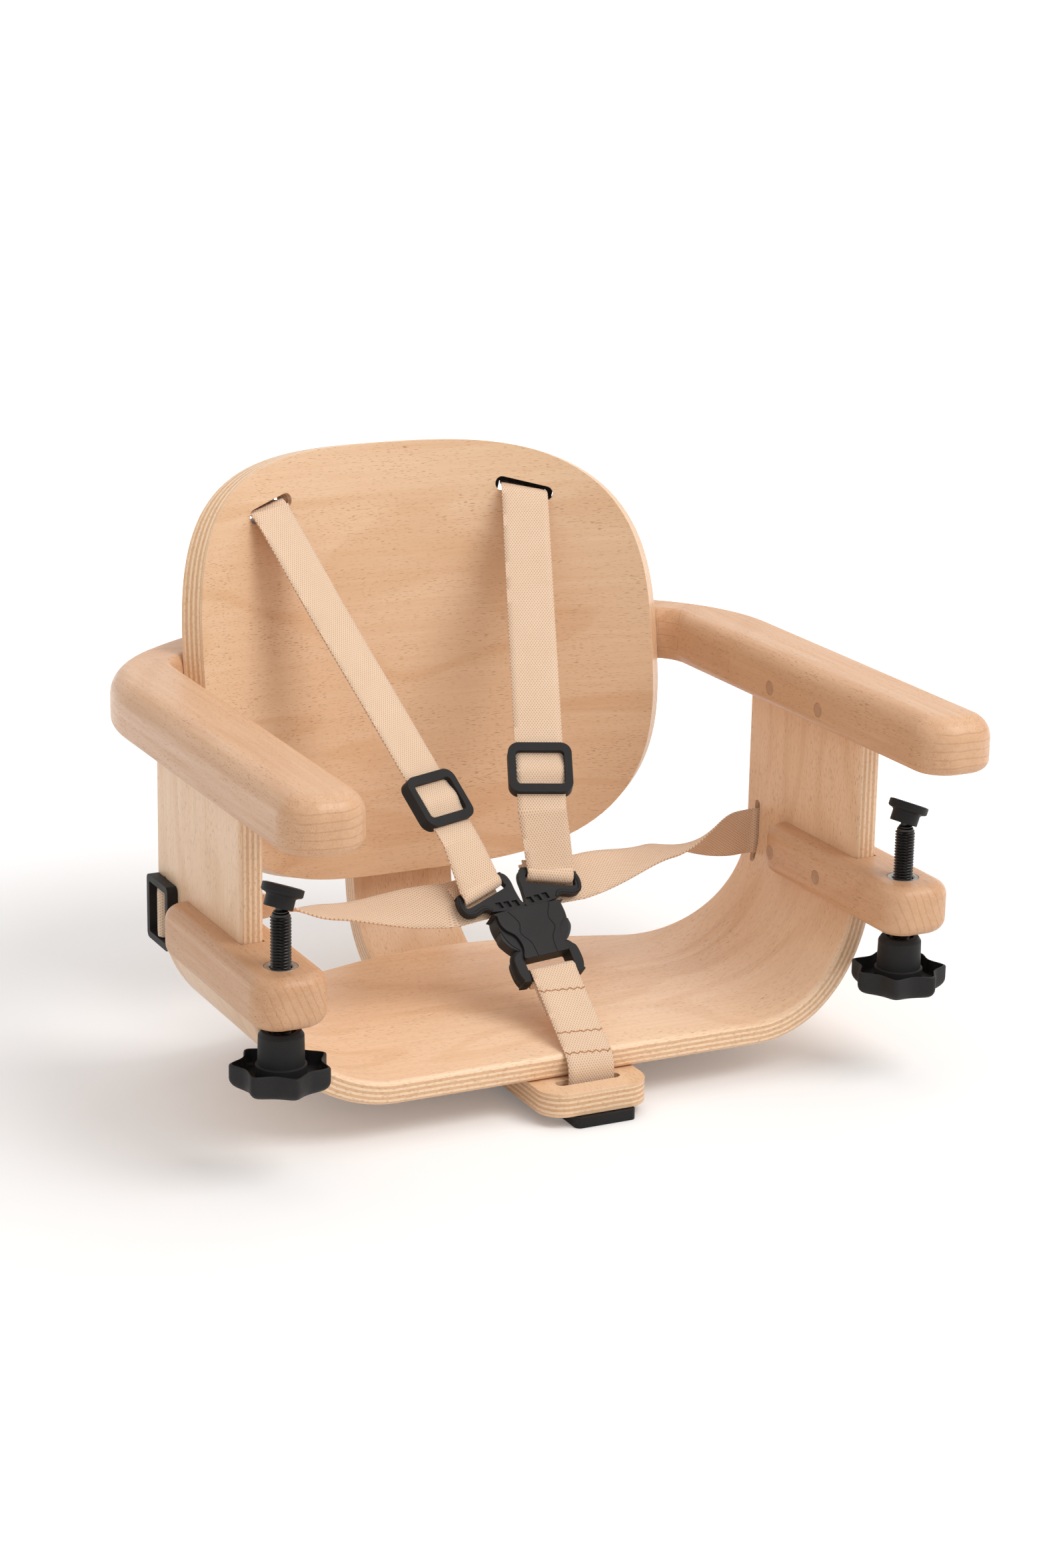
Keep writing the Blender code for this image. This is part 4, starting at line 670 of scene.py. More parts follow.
# Bent plywood
def seat_edges(run):
    bent = clamped((run - SEAT_FLAT) / SEAT_TURN_LENGTH)
    whole = min(run / (SEAT_FLAT + SEAT_TURN_LENGTH), 1)
    return (-SEAT_FRONT * fading(bent),
            PANEL_DEPTH + (SEAT_REAR - PANEL_DEPTH) * fading(whole))


def seat_stations():
    """Front and rear points of the shell's middle, from the left panel to the right one."""
    half = [(run, run, SEAT_MIDDLE) for run in spread(0, SEAT_FLAT, 14)[:-1]]
    half += [(SEAT_FLAT + SEAT_TURN * a, SEAT_FLAT + SEAT_TURN * sin(a),
              SEAT_MIDDLE + SEAT_TURN * (1 - cos(a))) for a in spread(0, QUARTER, 24)]
    half.append((SEAT_FLAT + SEAT_TURN_LENGTH, PANEL_MIDDLE, PANEL_TOP))
    return [[Vector((side * x, y, z)) for y in seat_edges(run)]
            for side, places in ((-1, half[::-1]), (1, half[1:])) for run, x, z in places]


def seat_grain(x, y, z):
    side, out, centre = (1 if x >= 0 else -1), abs(x), SEAT_MIDDLE + SEAT_TURN
    if out <= SEAT_FLAT:
        return x, y, z - SEAT_MIDDLE
    if z >= centre:
        return side * (SEAT_FLAT + SEAT_TURN_LENGTH + z - centre), y, PANEL_MIDDLE - out
    angle = atan2(out - SEAT_FLAT, centre - z)
    radius = hypot(out - SEAT_FLAT, centre - z)
    return side * (SEAT_FLAT + SEAT_TURN * angle), y, SEAT_TURN - radius


def seat_look():
    part = to_object("seat", loft(seat_stations(), closed=False))
    modifier(part, "SOLIDIFY", thickness=PLY, offset=0, use_even_offset=True, use_rim=True)
    bevel(part, RIM, 5)
    turn = frame_matrix((0, WAIST_SLOT_Y, WAIST_SLOT_Z), (0, 0, 1), (0, 1, 0), (-1, 0, 0))
    reach = PLY / 2 + OVERRUN
    for middle in (PANEL_MIDDLE, -PANEL_MIDDLE):
        cut(part, prism([long_slot(*WAIST_SLOT)], middle - reach, middle + reach), turn)
    # The seat wears the plywood copy painted lighter, as painted light against its shade.
    stand(part, "seat_shell", SEAT_PLYWOOD_PAINTED_LIGHTER, seat_grain)


def back_point(out, height, depth):
    """A place on the backrest, from its flat place and its depth in the sheet."""
    angle = out / BACK_MIDDLE_RADIUS
    radius = BACK_MIDDLE_RADIUS + depth
    back = radius * cos(angle) - BACK_RADIUS
    return Vector((radius * sin(angle),
                   BACK_BOTTOM_Y + height * sin(BACK_LEAN) + back * cos(BACK_LEAN),
                   BACK_BOTTOM + height * cos(BACK_LEAN) - back * sin(BACK_LEAN)))


def bend(mesh, axis, cuts, placed):
    """Cuts a flat blank into strips, keeps its flat place as grain, and bends it."""
    work = opened(mesh)
    for place in cuts:
        bmesh.ops.bisect_plane(work, geom=work.verts[:] + work.edges[:] + work.faces[:],
                               dist=MERGE, plane_co=axis * place, plane_no=axis)
    layer = work.verts.layers.float_vector.new("grain")
    for vert in work.verts:
        vert[layer] = vert.co
        vert.co = placed(*vert.co)
    settled(work, mesh, outward=True)


def bend_back(mesh, count):
    cuts = [BACK_HALF * share for share in spread(-1, 1, count)[1:-1]]
    bend(mesh, Vector((1, 0, 0)), cuts, back_point)


def back_look():
    outline, count = [], 168
    for i in range(count):
        a = tau * (i + 0.5) / count
        x, up = sin(a), cos(a)
        size = (abs(x) ** BACK_SQUARENESS + abs(up) ** BACK_SQUARENESS) ** (-1 / BACK_SQUARENESS)
        outline.append((BACK_HALF * size * x, BACK_HEIGHT / 2 * (1 + size * up)))
    slots = [long_slot(SLOT_LONG + 0.0035, SLOT_WIDE + 0.0006, (side * SLOT_OUT, SLOT_RISE),
                       -side * SLOT_SLOPE) for side in (-1, 1)]
    blank = edged(prism([outline] + slots, -PLY / 2, PLY / 2), RIM, 5)
    bend_back(blank.data, 60)
    stand(blank, "backrest")


def spine_runs():
    """Lengths of the spine's flat, bent and upright stretches."""
    turn = SPINE_BEND + PLY / 2
    square = QUARTER - BACK_LEAN
    rise = PLY / 2 + turn * (1 - cos(square))
    wall = back_point(0, 0, PLY + GAP)
    bend_end = wall.y + (rise - wall.z) * tan(BACK_LEAN)
    flat = bend_end - turn * sin(square) - SPINE_FRONT
    top = ARM_BOTTOM - RIM - rise - PLY / 2 * sin(BACK_LEAN)
    return flat, turn * square, top / cos(BACK_LEAN)


def spine_point(across, run, depth):
    flat, bent, _ = spine_runs()
    turn = SPINE_BEND + PLY / 2
    angle = min(max((run - flat) / turn, 0), bent / turn)
    past = run - flat - turn * angle
    forward = Vector((0, cos(angle), sin(angle)))
    inward = Vector((0, -sin(angle), cos(angle)))
    centre = Vector((across, SPINE_FRONT + flat, PLY / 2 + turn))
    return centre - inward * (turn - depth) + forward * past


def refill(part, spots, faces, values):
    """Corners that a cutter made take the grain of the surface they lie on."""
    tree = BVHTree.FromPolygons(spots, faces)
    for vert, row in zip(part.data.vertices, part.data.attributes["grain"].data):
        if Vector(row.vector).length == 0:
            near, _, i, _ = tree.find_nearest(vert.co)
            shares = poly_3d_calc([spots[k] for k in faces[i]], near)
            row.vector = sum((values[k] * s for k, s in zip(faces[i], shares)), Vector())


def spine_look():
    flat, bent, top = spine_runs()
    half = SPINE_WIDTH / 2
    outline = rounded_rectangle((-half, 0), (half, flat + bent + top), RIM, 0.013, 0.013, RIM)
    slot = long_slot(TAB_SLOT_LENGTH, TAB_SLOT_WIDTH, (0, TAB_SLOT_Y - SPINE_FRONT))
    blank = edged(prism([outline, slot], -PLY / 2, PLY / 2), RIM * 0.9, 5)
    mesh = blank.data
    bend(mesh, Vector((0, 1, 0)), [flat + run for run in spread(0, bent, 24)], spine_point)
    for row in mesh.attributes["grain"].data:
        x, y, z = row.vector
        row.vector = (y, x, z)
    before = ([v.co.copy() for v in mesh.vertices], [list(f.vertices) for f in mesh.polygons],
              [Vector(row.vector) for row in mesh.attributes["grain"].data])
    for _, seat, axis, _ in screws()[:4]:
        cut(blank, *recess(seat, axis))
    blank = bake(blank)
    refill(blank, *before)
    stand(blank, "spine")


# Screws and dowels
def screws():
    """Node, head's seat, axis and passed depth of four screws in the spine, two in the rail."""
    up = Vector((0, 0, 1))
    forward = Vector((0, -cos(BACK_LEAN), sin(BACK_LEAN)))
    seats = [(Vector((0, y, 0)), up, PLY) for y in SEAT_SCREWS]
    seats += [(back_point(0, rise, PLY / 2 + GAP + PLY), forward, PLY) for rise in SPINE_SCREWS]
    middle = Vector((0, RAIL_CENTRE_Y, ARM_BOTTOM + ARM_HEIGHT / 2))
    for side in (-1, 1):
        axis = Vector((-side * RAIL_SCREW_OUT / RAIL_OUTER, 0, 0))
        axis.y = -sqrt(1 - axis.x ** 2)
        seats.append((middle - axis * RAIL_OUTER, axis, RAIL_OUTER - RAIL_INNER))
    names = ("front_seat", "rear_seat", "lower_spine", "upper_spine", "left_rail", "right_rail")
    return [(f"{name}_screw", *seat) for name, seat in zip(names, seats)]


def recess(seat, axis):
    return rod(RECESS_RADIUS, RECESS_DEPTH + OVERRUN), along(seat - axis * OVERRUN, axis)


def screw_looks():
    for node, seat, axis, through in screws():
        place, length = along(seat, axis), through + 0.008
        profile = [(0, length), (0.0006, length - 0.0004), (0.0022, length - 0.003),
                   (0.0022, 0.0032), (0.0044, 0.0028), (0.0045, 0.0010), (0.0036, 0.0004),
                   (0, 0.0003)]
        part = to_object("screw", turned(profile, 36), place)
        for turn in (0.4, QUARTER + 0.4):
            cut(part, box((-0.0021, -0.0005, -0.001), (0.0021, 0.0005, 0.0018)),
                place @ Matrix.Rotation(turn, 4, "Z"))
        stand(part, node)


def dowel(side, y, z, start, radius, near, far):
    """A rod across a panel and its place, with both ends shifted outwards by near and far."""
    return (rod(radius, PANEL_OUTER + far - start - near),
            along(Vector((side * (start + near), y, z)), Vector((side, 0, 0))))


def dowel_looks():
    names = ("front_arm", "rear_arm", "front_block", "rear_block")
    for side, word in SIDES:
        for name, spot in zip(names, DOWELS):
            y, z, _ = spot
            mesh, place = dowel(side, *spot, *DOWEL_ROD)
            stand(edged(mesh, 0.0001, 1, place=place), f"{word}_{name}_dowel",
                  grain=lambda a, b, c: (a, (b - y) * 0.7 + z, c + y))


# Ring of solid wood and blocks
def ring_outline():
    """Half the ring runs round outside from the rail to the arm's tip and back inside."""
    centre = (0, RAIL_CENTRE_Y)
    shift = RAIL_EASE - RAIL_INNER
    ease = (-shift * sin(EASE_START), RAIL_CENTRE_Y - shift * cos(EASE_START))
    inner = (ARM_INNER - ease[0] - RAIL_EASE * sin(EASE_END)) / (1 - sin(EASE_END))
    reach = RAIL_EASE - inner
    inner_corner = (ease[0] + reach * sin(EASE_END), ease[1] + reach * cos(EASE_END))
    outer = (ARM_OUTER - RAIL_OUTER * sin(CORNER_START)) / (1 - sin(CORNER_START))
    reach = RAIL_OUTER - outer
    outer_corner = (reach * sin(CORNER_START),
                    RAIL_CENTRE_Y + reach * cos(CORNER_START))
    tip_y, tip_step = ARM_FRONT + ARM_TIP, radians(6)
    half = arc(centre, RAIL_OUTER, 0, CORNER_START)
    half += arc(outer_corner, outer, CORNER_START, QUARTER)[1:]
    half += arc((ARM_OUTER - ARM_TIP, tip_y), ARM_TIP, QUARTER, 2 * QUARTER, tip_step)
    half += arc((ARM_INNER + ARM_TIP, tip_y), ARM_TIP, 2 * QUARTER, 3 * QUARTER, tip_step)
    half += arc(inner_corner, inner, QUARTER, EASE_END)
    half += arc(ease, RAIL_EASE, EASE_END, EASE_START)[1:]
    half += arc(centre, RAIL_INNER, EASE_START, 0)[1:]
    return half + [(-x, y) for x, y in reversed(half[1:-1])]


def finger_region(side, grow):
    """What lies on the arm's side of the finger joint, grown by a gap, and its place."""
    layer, length, reach = ARM_HEIGHT / 4, 0.012, 0.6
    points = [(reach, -reach)]
    for k in range(4):
        sign = 1 if k % 2 else -1
        edge = sign * length / 2 - grow
        points += [(edge, -reach if k == 0 else k * layer + sign * grow),
                   (edge, reach if k == 3 else (k + 1) * layer - sign * grow)]
    points += [(reach, reach)]
    tangent = Vector((side * cos(JOINT_ANGLE), -sin(JOINT_ANGLE), 0))
    radial = tangent.cross(Vector((0, 0, 1)))
    return prism([points], -reach, reach), frame_matrix(
        (0, RAIL_CENTRE_Y, ARM_BOTTOM), tangent, (0, 0, 1), radial)


def ring_looks():
    outline, shares, joint_gap = ring_outline(), [], 0.00004
    for x, y in outline:
        inner = hypot(x, y - RAIL_CENTRE_Y) < RAIL_INNER + 0.008 and abs(x) < 0.150
        shares.append(1 - 0.5 * clamped((y - 0.02) / 0.09) if inner else 1)
    whole = rounded_prism(outline, ARM_BOTTOM, ARM_BOTTOM + ARM_HEIGHT, 0.0055, 0.012, 9, shares)
    for side, word in SIDES:
        part = to_object("arm", whole.copy())
        cut(part, *finger_region(side, -joint_gap), operation="INTERSECT")
        cut(part, box((side * (PANEL_INNER - GAP), -GAP, ARM_BOTTOM - OVERRUN),
                      (side * (PANEL_OUTER + GAP), PANEL_DEPTH + GAP, PANEL_TOP + GAP)))
        for spot in DOWELS[:2]:
            cut(part, *dowel(side, *spot, *DOWEL_HOLE))
        shift = 0.3 * side
        stand(part, f"{word}_arm", grain=lambda x, y, z: (y + shift, x + shift, z))
    part = to_object("rail", whole.copy())
    for side in (-1, 1):
        cut(part, *finger_region(side, joint_gap))
    half = BACK_HALF + GAP
    blank = prism([[(-half, 0), (half, 0), (half, BACK_HEIGHT), (-half, BACK_HEIGHT)]],
                  -PLY - OVERRUN, PLY / 2 + GAP)
    bend_back(blank, 40)
    cut(part, blank)
    for _, seat, axis, _ in screws()[4:]:
        cut(part, *recess(seat, axis))
    stand(part, "rear_rail", RAIL_BEECH, lambda x, y, z: (x, y, z + 0.7))


def block_looks():
    half = BLOCK_WIDTH / 2
    for side, word in SIDES:
        middle = side * PANEL_MIDDLE
        outline = rounded_rectangle((middle - half, BLOCK_FRONT), (middle + half, BLOCK_REAR),
                                    0.0124, 0.0145, 0.0145, 0.0124, step=radians(5))
        part = to_object("block", rounded_prism(outline, BLOCK_BOTTOM, BLOCK_TOP,
                                                0.0072, 0.0068, 7))
        slot = to_object("slot", loft([
            [Vector((a.x, a.y - GAP, a.z)), Vector((a.x, BLOCK_REAR + OVERRUN, a.z))]
            for a, _ in seat_stations() if a.x * side > SEAT_FLAT], closed=False))
        modifier(slot, "SOLIDIFY", thickness=PLY + GAP, offset=0, use_even_offset=True)
        cut(part, taken(slot))
        for spot in DOWELS[2:]:
            cut(part, *dowel(side, *spot, *DOWEL_HOLE))
        for bore, z in ((rod(0.0081, 0.0243, 56), BLOCK_TOP - 0.0203),
                        (rod(0.0055, 0.026, 48), BLOCK_BOTTOM - OVERRUN)):
            cut(part, bore, Matrix.Translation((middle, CLAMP_Y, z)))
        shift = 0.5 + 0.3 * side
        stand(part, f"{word}_clamp_block", grain=lambda x, y, z: (y + shift, z, x + z * 0.4))


# Clamps
def insert_mesh():
    """A thread insert with a small chamfer."""
    return turned([(0.0053, BLOCK_TOP - 0.0006), (0.0060, BLOCK_TOP - 0.00005),
                   (0.0078, BLOCK_TOP - 0.00005), (0.0080, BLOCK_TOP - 0.0003),
                   (0.0080, BLOCK_TOP - 0.020), (0.0053, BLOCK_TOP - 0.020),
                   (0.0053, BLOCK_TOP - 0.0006)])


def rod_mesh():
    """A threaded rod, whose thread fades out at the top."""
    columns, rows = 40, 8
    start = ROD_TOP - ROD_LENGTH
    low, high = start + 0.0002, ROD_TOP - 0.0009
    rings = [[(0, start)] * columns]
    for z in spread(low, high, int((high - low) / THREAD_PITCH * rows)):
        fade = min(1, (high - z) / THREAD_PITCH * 0.9 + 0.1)
        ring = []
        for k in range(columns):
            share = (z / THREAD_PITCH - k / columns) % 1.0
            crest = clamped((abs(share * 2 - 1) - 0.12) / 0.72)
            ring.append((ROD_RADIUS - THREAD_DEPTH * (1 - (1 - crest) * fade), z))
        rings.append(ring)
    rings += [[(r, ROD_TOP - drop)] * columns
              for r, drop in ((0.0040, 0.0006), (0.0036, 0.0001), (0.0022, 0))]
    turns = round_points(1, 0, tau, columns)
    return loft([[(r * x, r * y, z) for (r, z), (x, y) in zip(ring, turns)] for ring in rings])


def stud_mesh():
    """A ball on a waisted neck, with a collar and a stem."""
    ball, neck = 0.004, 0.0024
    profile = [(0, ball)] + round_points(ball, QUARTER, -acos(neck / ball), 16)[1:]
    return turned(profile + [(neck, -0.0045), (0.0026, -0.0054), (0.0034, -0.0061),
                             (0.0034, -0.0066), (0.002, -0.0066), (0.002, -0.0166),
                             (0, -0.0166)], 40)


def pad_mesh():
    """A swivel pad with its socket open under the ball."""
    socket = 0.0043
    profile = rounded_profile([
        (0, 0.0060), (0.0085, 0.0060), (0.0088, 0.00585), (0.0100, 0.00575), (0.0100, 0.0024),
        (0.0094, 0.0018), (0.0075, 0.0012), (0.0070, 0.0006), (0.0070, -0.0047),
        (0.0053, -0.0047)], 0.0005)
    inside = round_points(socket, -asin(0.002 / socket), QUARTER, 10)[:-1]
    return turned(profile + inside + [(0, socket)])


def star(radius, dip, phase):
    """Round points with hollow sides between them."""
    outline, count, bluntness = [], 28 * KNOB_LOBES, 0.22
    for i in range(count):
        a = tau * i / count
        share = sqrt(0.5 - 0.5 * cos(KNOB_LOBES * a))
        share = ((hypot(share, bluntness) - bluntness)
                 / (hypot(1, bluntness) - bluntness))
        r = radius - dip * share
        outline.append((r * sin(phase - a), r * cos(phase - a)))
    return outline


def knob_part(word):
    """A star knob with a recessed top and a hub."""
    def star_loft(levels):
        return loft([[(x, y, z) for x, y in star(KNOB_RADIUS - d, KNOB_DIP * (1 - d / 0.009),
                                                 KNOB_HEADING[word])] for d, z in levels])
    levels = [(0.0064 * (1 - sin(a)), 0.0055 * (1 - cos(a)))
              for a in spread(0, QUARTER, 9)]
    part = to_object("knob", star_loft(levels + [(0, 0.0112), (0.0002, 0.0117),
                                                 (0.0007, 0.012)]))
    cut(part, star_loft([(0.0030, 0.0045), (0.0018, 0.0056), (0.0015, 0.0110),
                         (0.0013, 0.020)]))
    hub = [(0, 0.002), (0.0121, 0.002), (0.0121, 0.0115), (0.0111, 0.0115), (0.0108, 0.0256),
           (0.0093, 0.0280), (0.0070, 0.0280), (0.0068, 0.0262), (0.0053, 0.0262),
           (0.0053, 0.0130), (0, 0.0130)]
    cut(part, turned(rounded_profile(hub, 0.0003)), operation="UNION")
    return part


def clamp_looks():
    for side, word in SIDES:
        place = Matrix.Translation((side * PANEL_MIDDLE, CLAMP_Y, 0))
        pivot = place @ Matrix.Translation((0, 0, PIVOT_Z))
        heading = PAD_HEADING[word]
        hinge = Vector((-sin(heading), cos(heading), 0))
        lean = pivot @ Matrix.Rotation(PAD_LEAN, 4, hinge)
        for piece, mesh, spot, angle in (
                ("thread_insert", insert_mesh(), place, 38), ("clamp_rod", rod_mesh(), place, 50),
                ("ball_stud", stud_mesh(), pivot, 38), ("clamp_pad", pad_mesh(), lean, 38)):
            stand(to_object(piece, mesh, spot), f"{word}_{piece}", angle=angle)
        knob = bake(knob_part(word), place @ Matrix.Translation((0, 0, KNOB_BOTTOM)))
        stand(knob, f"{word}_clamp_knob", KNOB_PLASTIC)


# Harness frames
def buckle_frame():
    up = Vector((0, cos(BUCKLE_SLOPE), sin(BUCKLE_SLOPE)))
    across = Vector((1, 0, 0))
    twisted = across * cos(BUCKLE_TWIST) + up * sin(BUCKLE_TWIST)
    climb = up * cos(BUCKLE_TWIST) - across * sin(BUCKLE_TWIST)
    return frame_matrix(BUCKLE_PLACE, twisted, climb, twisted.cross(climb))


def back_slider_frame(side):
    place = back_point(side * SLOT_OUT, SLOT_RISE, PLY / 2)
    ends = [back_point(side * SLOT_OUT + run * cos(SLOT_SLOPE),
                       SLOT_RISE - side * run * sin(SLOT_SLOPE), PLY / 2)
            for run in (-SLOT_LONG / 2, SLOT_LONG / 2)]
    across = (ends[1] - ends[0]).normalized()
    out = place - back_point(side * SLOT_OUT, SLOT_RISE, -PLY / 2)
    out = (out - across * out.dot(across)).normalized()
    up = out.cross(across)
    return frame_matrix(place - up * WEB_TURN + out * 4 * GAP, -across, -up, out)


def adjuster_frame(side):
    place = Vector(ADJUSTER_PLACE[side])
    up = (back_point(side * SLOT_OUT, SLOT_RISE - 0.002, -PLY / 2) - place).normalized()
    across = Vector((-0.90, side * 0.41, side * 0.08))
    across = -(across - up * across.dot(up)).normalized()
    return frame_matrix(place, across, up, across.cross(up))


def waist_slider_frame(side):
    place = Vector((side * PANEL_OUTER, WAIST_SLOT_Y - WEB_TURN, WAIST_SLOT_Z))
    return frame_matrix(place, (0, 0, side), (0, -1, 0), (side, 0, 0))


def tab_slider_frame():
    return frame_matrix((BUCKLE_PLACE.x / 2, TAB_SLOT_Y - WEB_TURN, 0),
                        (1, 0, 0), (0, -1, 0), (0, 0, -1))


def tongue_slot():
    """Both lower ends of the slot, its direction and the square to it."""
    inner, outer = (Vector((x * TONGUE_WIDE, y * TONGUE_TALL)) for x, y in TONGUE_SLOT)
    line = (outer - inner).normalized()
    return inner, outer, line, Vector((-line.y, line.x))


def tongue_bar(side):
    """Middle, direction and lower side of the bar that the straps turn round."""
    spot = buckle_frame()
    inner, outer, line, square = tongue_slot()
    middle = (inner + outer) / 2 + square * (TONGUE_SLOT_WIDE + TONGUE_BAR / 2)
    turn = spot.to_3x3()
    return (spot @ Vector((side * middle.x, middle.y, -TONGUE_DROP - TONGUE_THICK / 2)),
            turn @ Vector((line.x, side * line.y, 0)),
            turn @ Vector((-side * square.x, -square.y, 0)))


# Harness fittings
def slider_look(node, place, tall=SLIDER_TALL):
    """A flat three-bar slider, as behind the backrest, outside a panel, under the tab."""
    wide, border, bar, thick, low = 0.0165, 0.0035, 0.0015, 0.0053, GAP + SLIDER_SEAT
    far, high = wide - border, tall - border
    windows = [rounded_rectangle((-far, bar), (far, high), 0.001),
               rounded_rectangle((-far, -high), (far, -bar), 0.001)]
    part = to_object("slider", prism([centred(wide, tall, 0.003)] + windows,
                                     GAP, GAP + thick), place)
    cut(part, box((-far, -0.003, low), (far, 0.003, low + thick)), place)
    stand(edged(taken(part), 0.0006, 3, 40), node)


def adjuster_look(side, word):
    """A front frame, a wider frame behind it and a bar across."""
    rim = centred(0.0165, 0.0145, 0.0058)
    parts = [
        edged(prism([rim, centred(0.0126, 0.0097, 0.0022)], 0.0002, 0.0034), 0.0011, 4, 40),
        edged(prism([rim, centred(0.0128, 0.0128, 0.003)], -0.0031, 0.0003), 0.0008, 3, 40),
        edged(box((-0.0135, -0.0019, -0.0031), (0.0135, 0.0019, -0.0008)), 0.0007, 3)]
    stand(bake(join(parts), adjuster_frame(side)), f"{word}_shoulder_adjuster")


def tongue_look(side, word):
    inner, outer, _, square = tongue_slot()
    rise = square * TONGUE_SLOT_WIDE
    hole = [inner, outer, outer + rise, inner + rise]
    hole = smooth_outline([a.lerp(b, share) for a, b in zip(hole, hole[1:] + hole[:1])
                           for share in (0.12, 0.5, 0.88)], 3)
    shape = [(x * TONGUE_WIDE, y * TONGUE_TALL) for x, y in TONGUE_SHARES]
    outline = smooth_outline(shape[-1:] + shape[:-1], 4)[4:-3]
    outline += [(0.0095, GAP), (0.0095, -0.014), (0.0025, -0.014), (0.0025, GAP)]
    flat = [[(side * p[0], p[1]) for p in points] for points in (outline, hole)]
    part = edged(prism(flat, -TONGUE_DROP - TONGUE_THICK, -TONGUE_DROP), 0.0010, 4, 40)
    for k in range(3):
        x, y = side * (0.0042 + 0.0046 * k), 0.0036 + 0.0003 * k
        pocket = [(x - 0.0015, y - 0.0016), (x + 0.0015, y - 0.0016),
                  (x + 0.0006, y + 0.0019), (x - 0.0024, y + 0.0019)]
        cut(part, rounded_prism(pocket, -TONGUE_DROP - 0.0013, 0.002, 0.0002, 0.0001, 2))
    bead = [Vector((side * x * TONGUE_WIDE, y * TONGUE_TALL, -TONGUE_DROP - 0.0006))
            for x, y in BEAD_SHARES]
    bead = to_object("bead", tube(smooth_route(bead, 4), 0.0012, 12))
    stand(bake(join([part, bead]), buckle_frame()), f"{word}_buckle_tongue", angle=45)


def buckle_outline(shares, count):
    half = [(x * BUCKLE_HALF, -y * BUCKLE_LENGTH) for x, y in shares]
    return smooth_outline(half + [(-x, y) for x, y in reversed(half)], count)


def tongue_socket(side):
    return box((side * 0.0022, -0.0143, -0.0057), (side * 0.0098, 0.004, -0.0015))


def buckle_base():
    """The body with the strap's bar, the buttons' bays and the tongues' sockets."""
    wide, low, bar = 0.0131, -BUCKLE_LENGTH + 0.0044, 0.0044
    window = rounded_rectangle((-wide, low), (wide, low + 0.0085), 0.0008)
    base = edged(prism([buckle_outline(BUCKLE_SHARES, 3), window], -BUCKLE_THICK, -0.0016),
                 0.0024, 5, 40)
    front, past = (bar - BUCKLE_THICK) / 2, BUCKLE_THICK + OVERRUN
    for a, b in ((front, front + past), (-past, front - bar)):
        cut(base, box((-wide, -BUCKLE_LENGTH - OVERRUN, a), (wide, low + 0.0018, b)))
    for side in (-1, 1):
        cut(base, box((side * 0.0107, -0.0213, -0.0094),
                      (side * BUCKLE_HALF * 2, -0.0097, -0.0017)))
        cut(base, tongue_socket(side))
    return base


def buckle_shield():
    """The raised front, narrower beside the buttons, with a curved line on each side."""
    groove = ((0.0118, -0.0010), (0.0085, -0.0078), (0.0098, -0.0138), (0.0062, -0.0198),
              (0.0055, -0.0275))
    top = edged(prism([buckle_outline(SHIELD_SHARES, 4)], -0.0040, 0.0), 0.0011, 4, 40)
    for side in (-1, 1):
        cut(top, tongue_socket(side))
        line = smooth_route([Vector((side * x, y, 0.00003)) for x, y in groove], 6)
        cut(top, tube(line, 0.00034, 8))
    return top


def buckle_arm(side):
    line = [Vector((side * x, y, z)) for x, y, z in
            ((0.0120, -0.0225, -0.0050), (0.0150, -0.0241, -0.0052), (0.0164, -0.0276, -0.0056),
             (0.0163, -0.0337, -0.0060), (0.0150, -0.0369, -0.0062))]
    return to_object("arm", tube(smooth_route(line, 5), 0.0030, 16))


def button_part(side):
    outline = [(0.0128, -0.0210), (0.0146, -0.0213), (0.0172, -0.0190), (0.0192, -0.0160),
               (0.0200, -0.0138), (0.0199, -0.0118), (0.0192, -0.0100), (0.0128, -0.0100)]
    outline = smooth_outline([(side * x, y) for x, y in outline], 4)
    return edged(prism([outline], -0.0090, -0.0020), 0.0014, 5, 40)


def buckle_looks():
    spot = buckle_frame()
    body = join([buckle_base(), buckle_shield(), buckle_arm(-1), buckle_arm(1)])
    stand(bake(body, spot), "buckle_body", angle=45)
    for side, word in SIDES:
        stand(bake(button_part(side), spot), f"{word}_release_button", BUTTON_PLASTIC)


# Webbing
def webbing(route, across, start=0.0):
    """Webbing with soft edges along a route, and its weave's coordinates."""
    upper = [(x * 0.985, 0.5 if abs(x) < 0.99 else 0.375) for x in spread(-1, 1, 8)]
    section = upper + [(1, 0)] + [(x, -z) for x, z in reversed(upper)] + [(-1, 0)]
    rings, marks, run = [], [], start
    for i, place in enumerate(route):
        if i:
            run += (place - route[i - 1]).length
        line = route[min(i + 1, len(route) - 1)] - route[max(i - 1, 0)]
        side = across[i] - line * (across[i].dot(line) / line.length_squared)
        side.normalize()
        normal = side.cross(line.normalized())
        ring = []
        for x, z in section:
            wobble = noise.noise(Vector((run * 90, x * 3, z * 2))) * 0.00010
            ring.append(place + side * (x * WEB_WIDTH / 2 + (wobble if abs(x) > 0.9 else 0))
                        + normal * (z * WEB_THICK + wobble * 0.5))
            marks.append((x * WEB_WIDTH / 2, run, z))
        rings.append(ring)
    mesh = loft(rings)
    set_vectors(mesh, "weave", marks)
    return mesh


def resample(route, across):
    """Even stations along a route."""
    step = 0.0012
    done, sides = [route[0].copy()], [across[0].copy()]
    for a, b, s, t in zip(route, route[1:], across, across[1:]):
        for share in spread(0, 1, max(1, round((b - a).length / step)))[1:]:
            done.append(a.lerp(b, share))
            sides.append(s.lerp(t, share))
    return done, sides


def strap(mesh, node, bent=None):
    return stand(to_object("strap", mesh), node, bent=bent, angle=70, weighted=False)


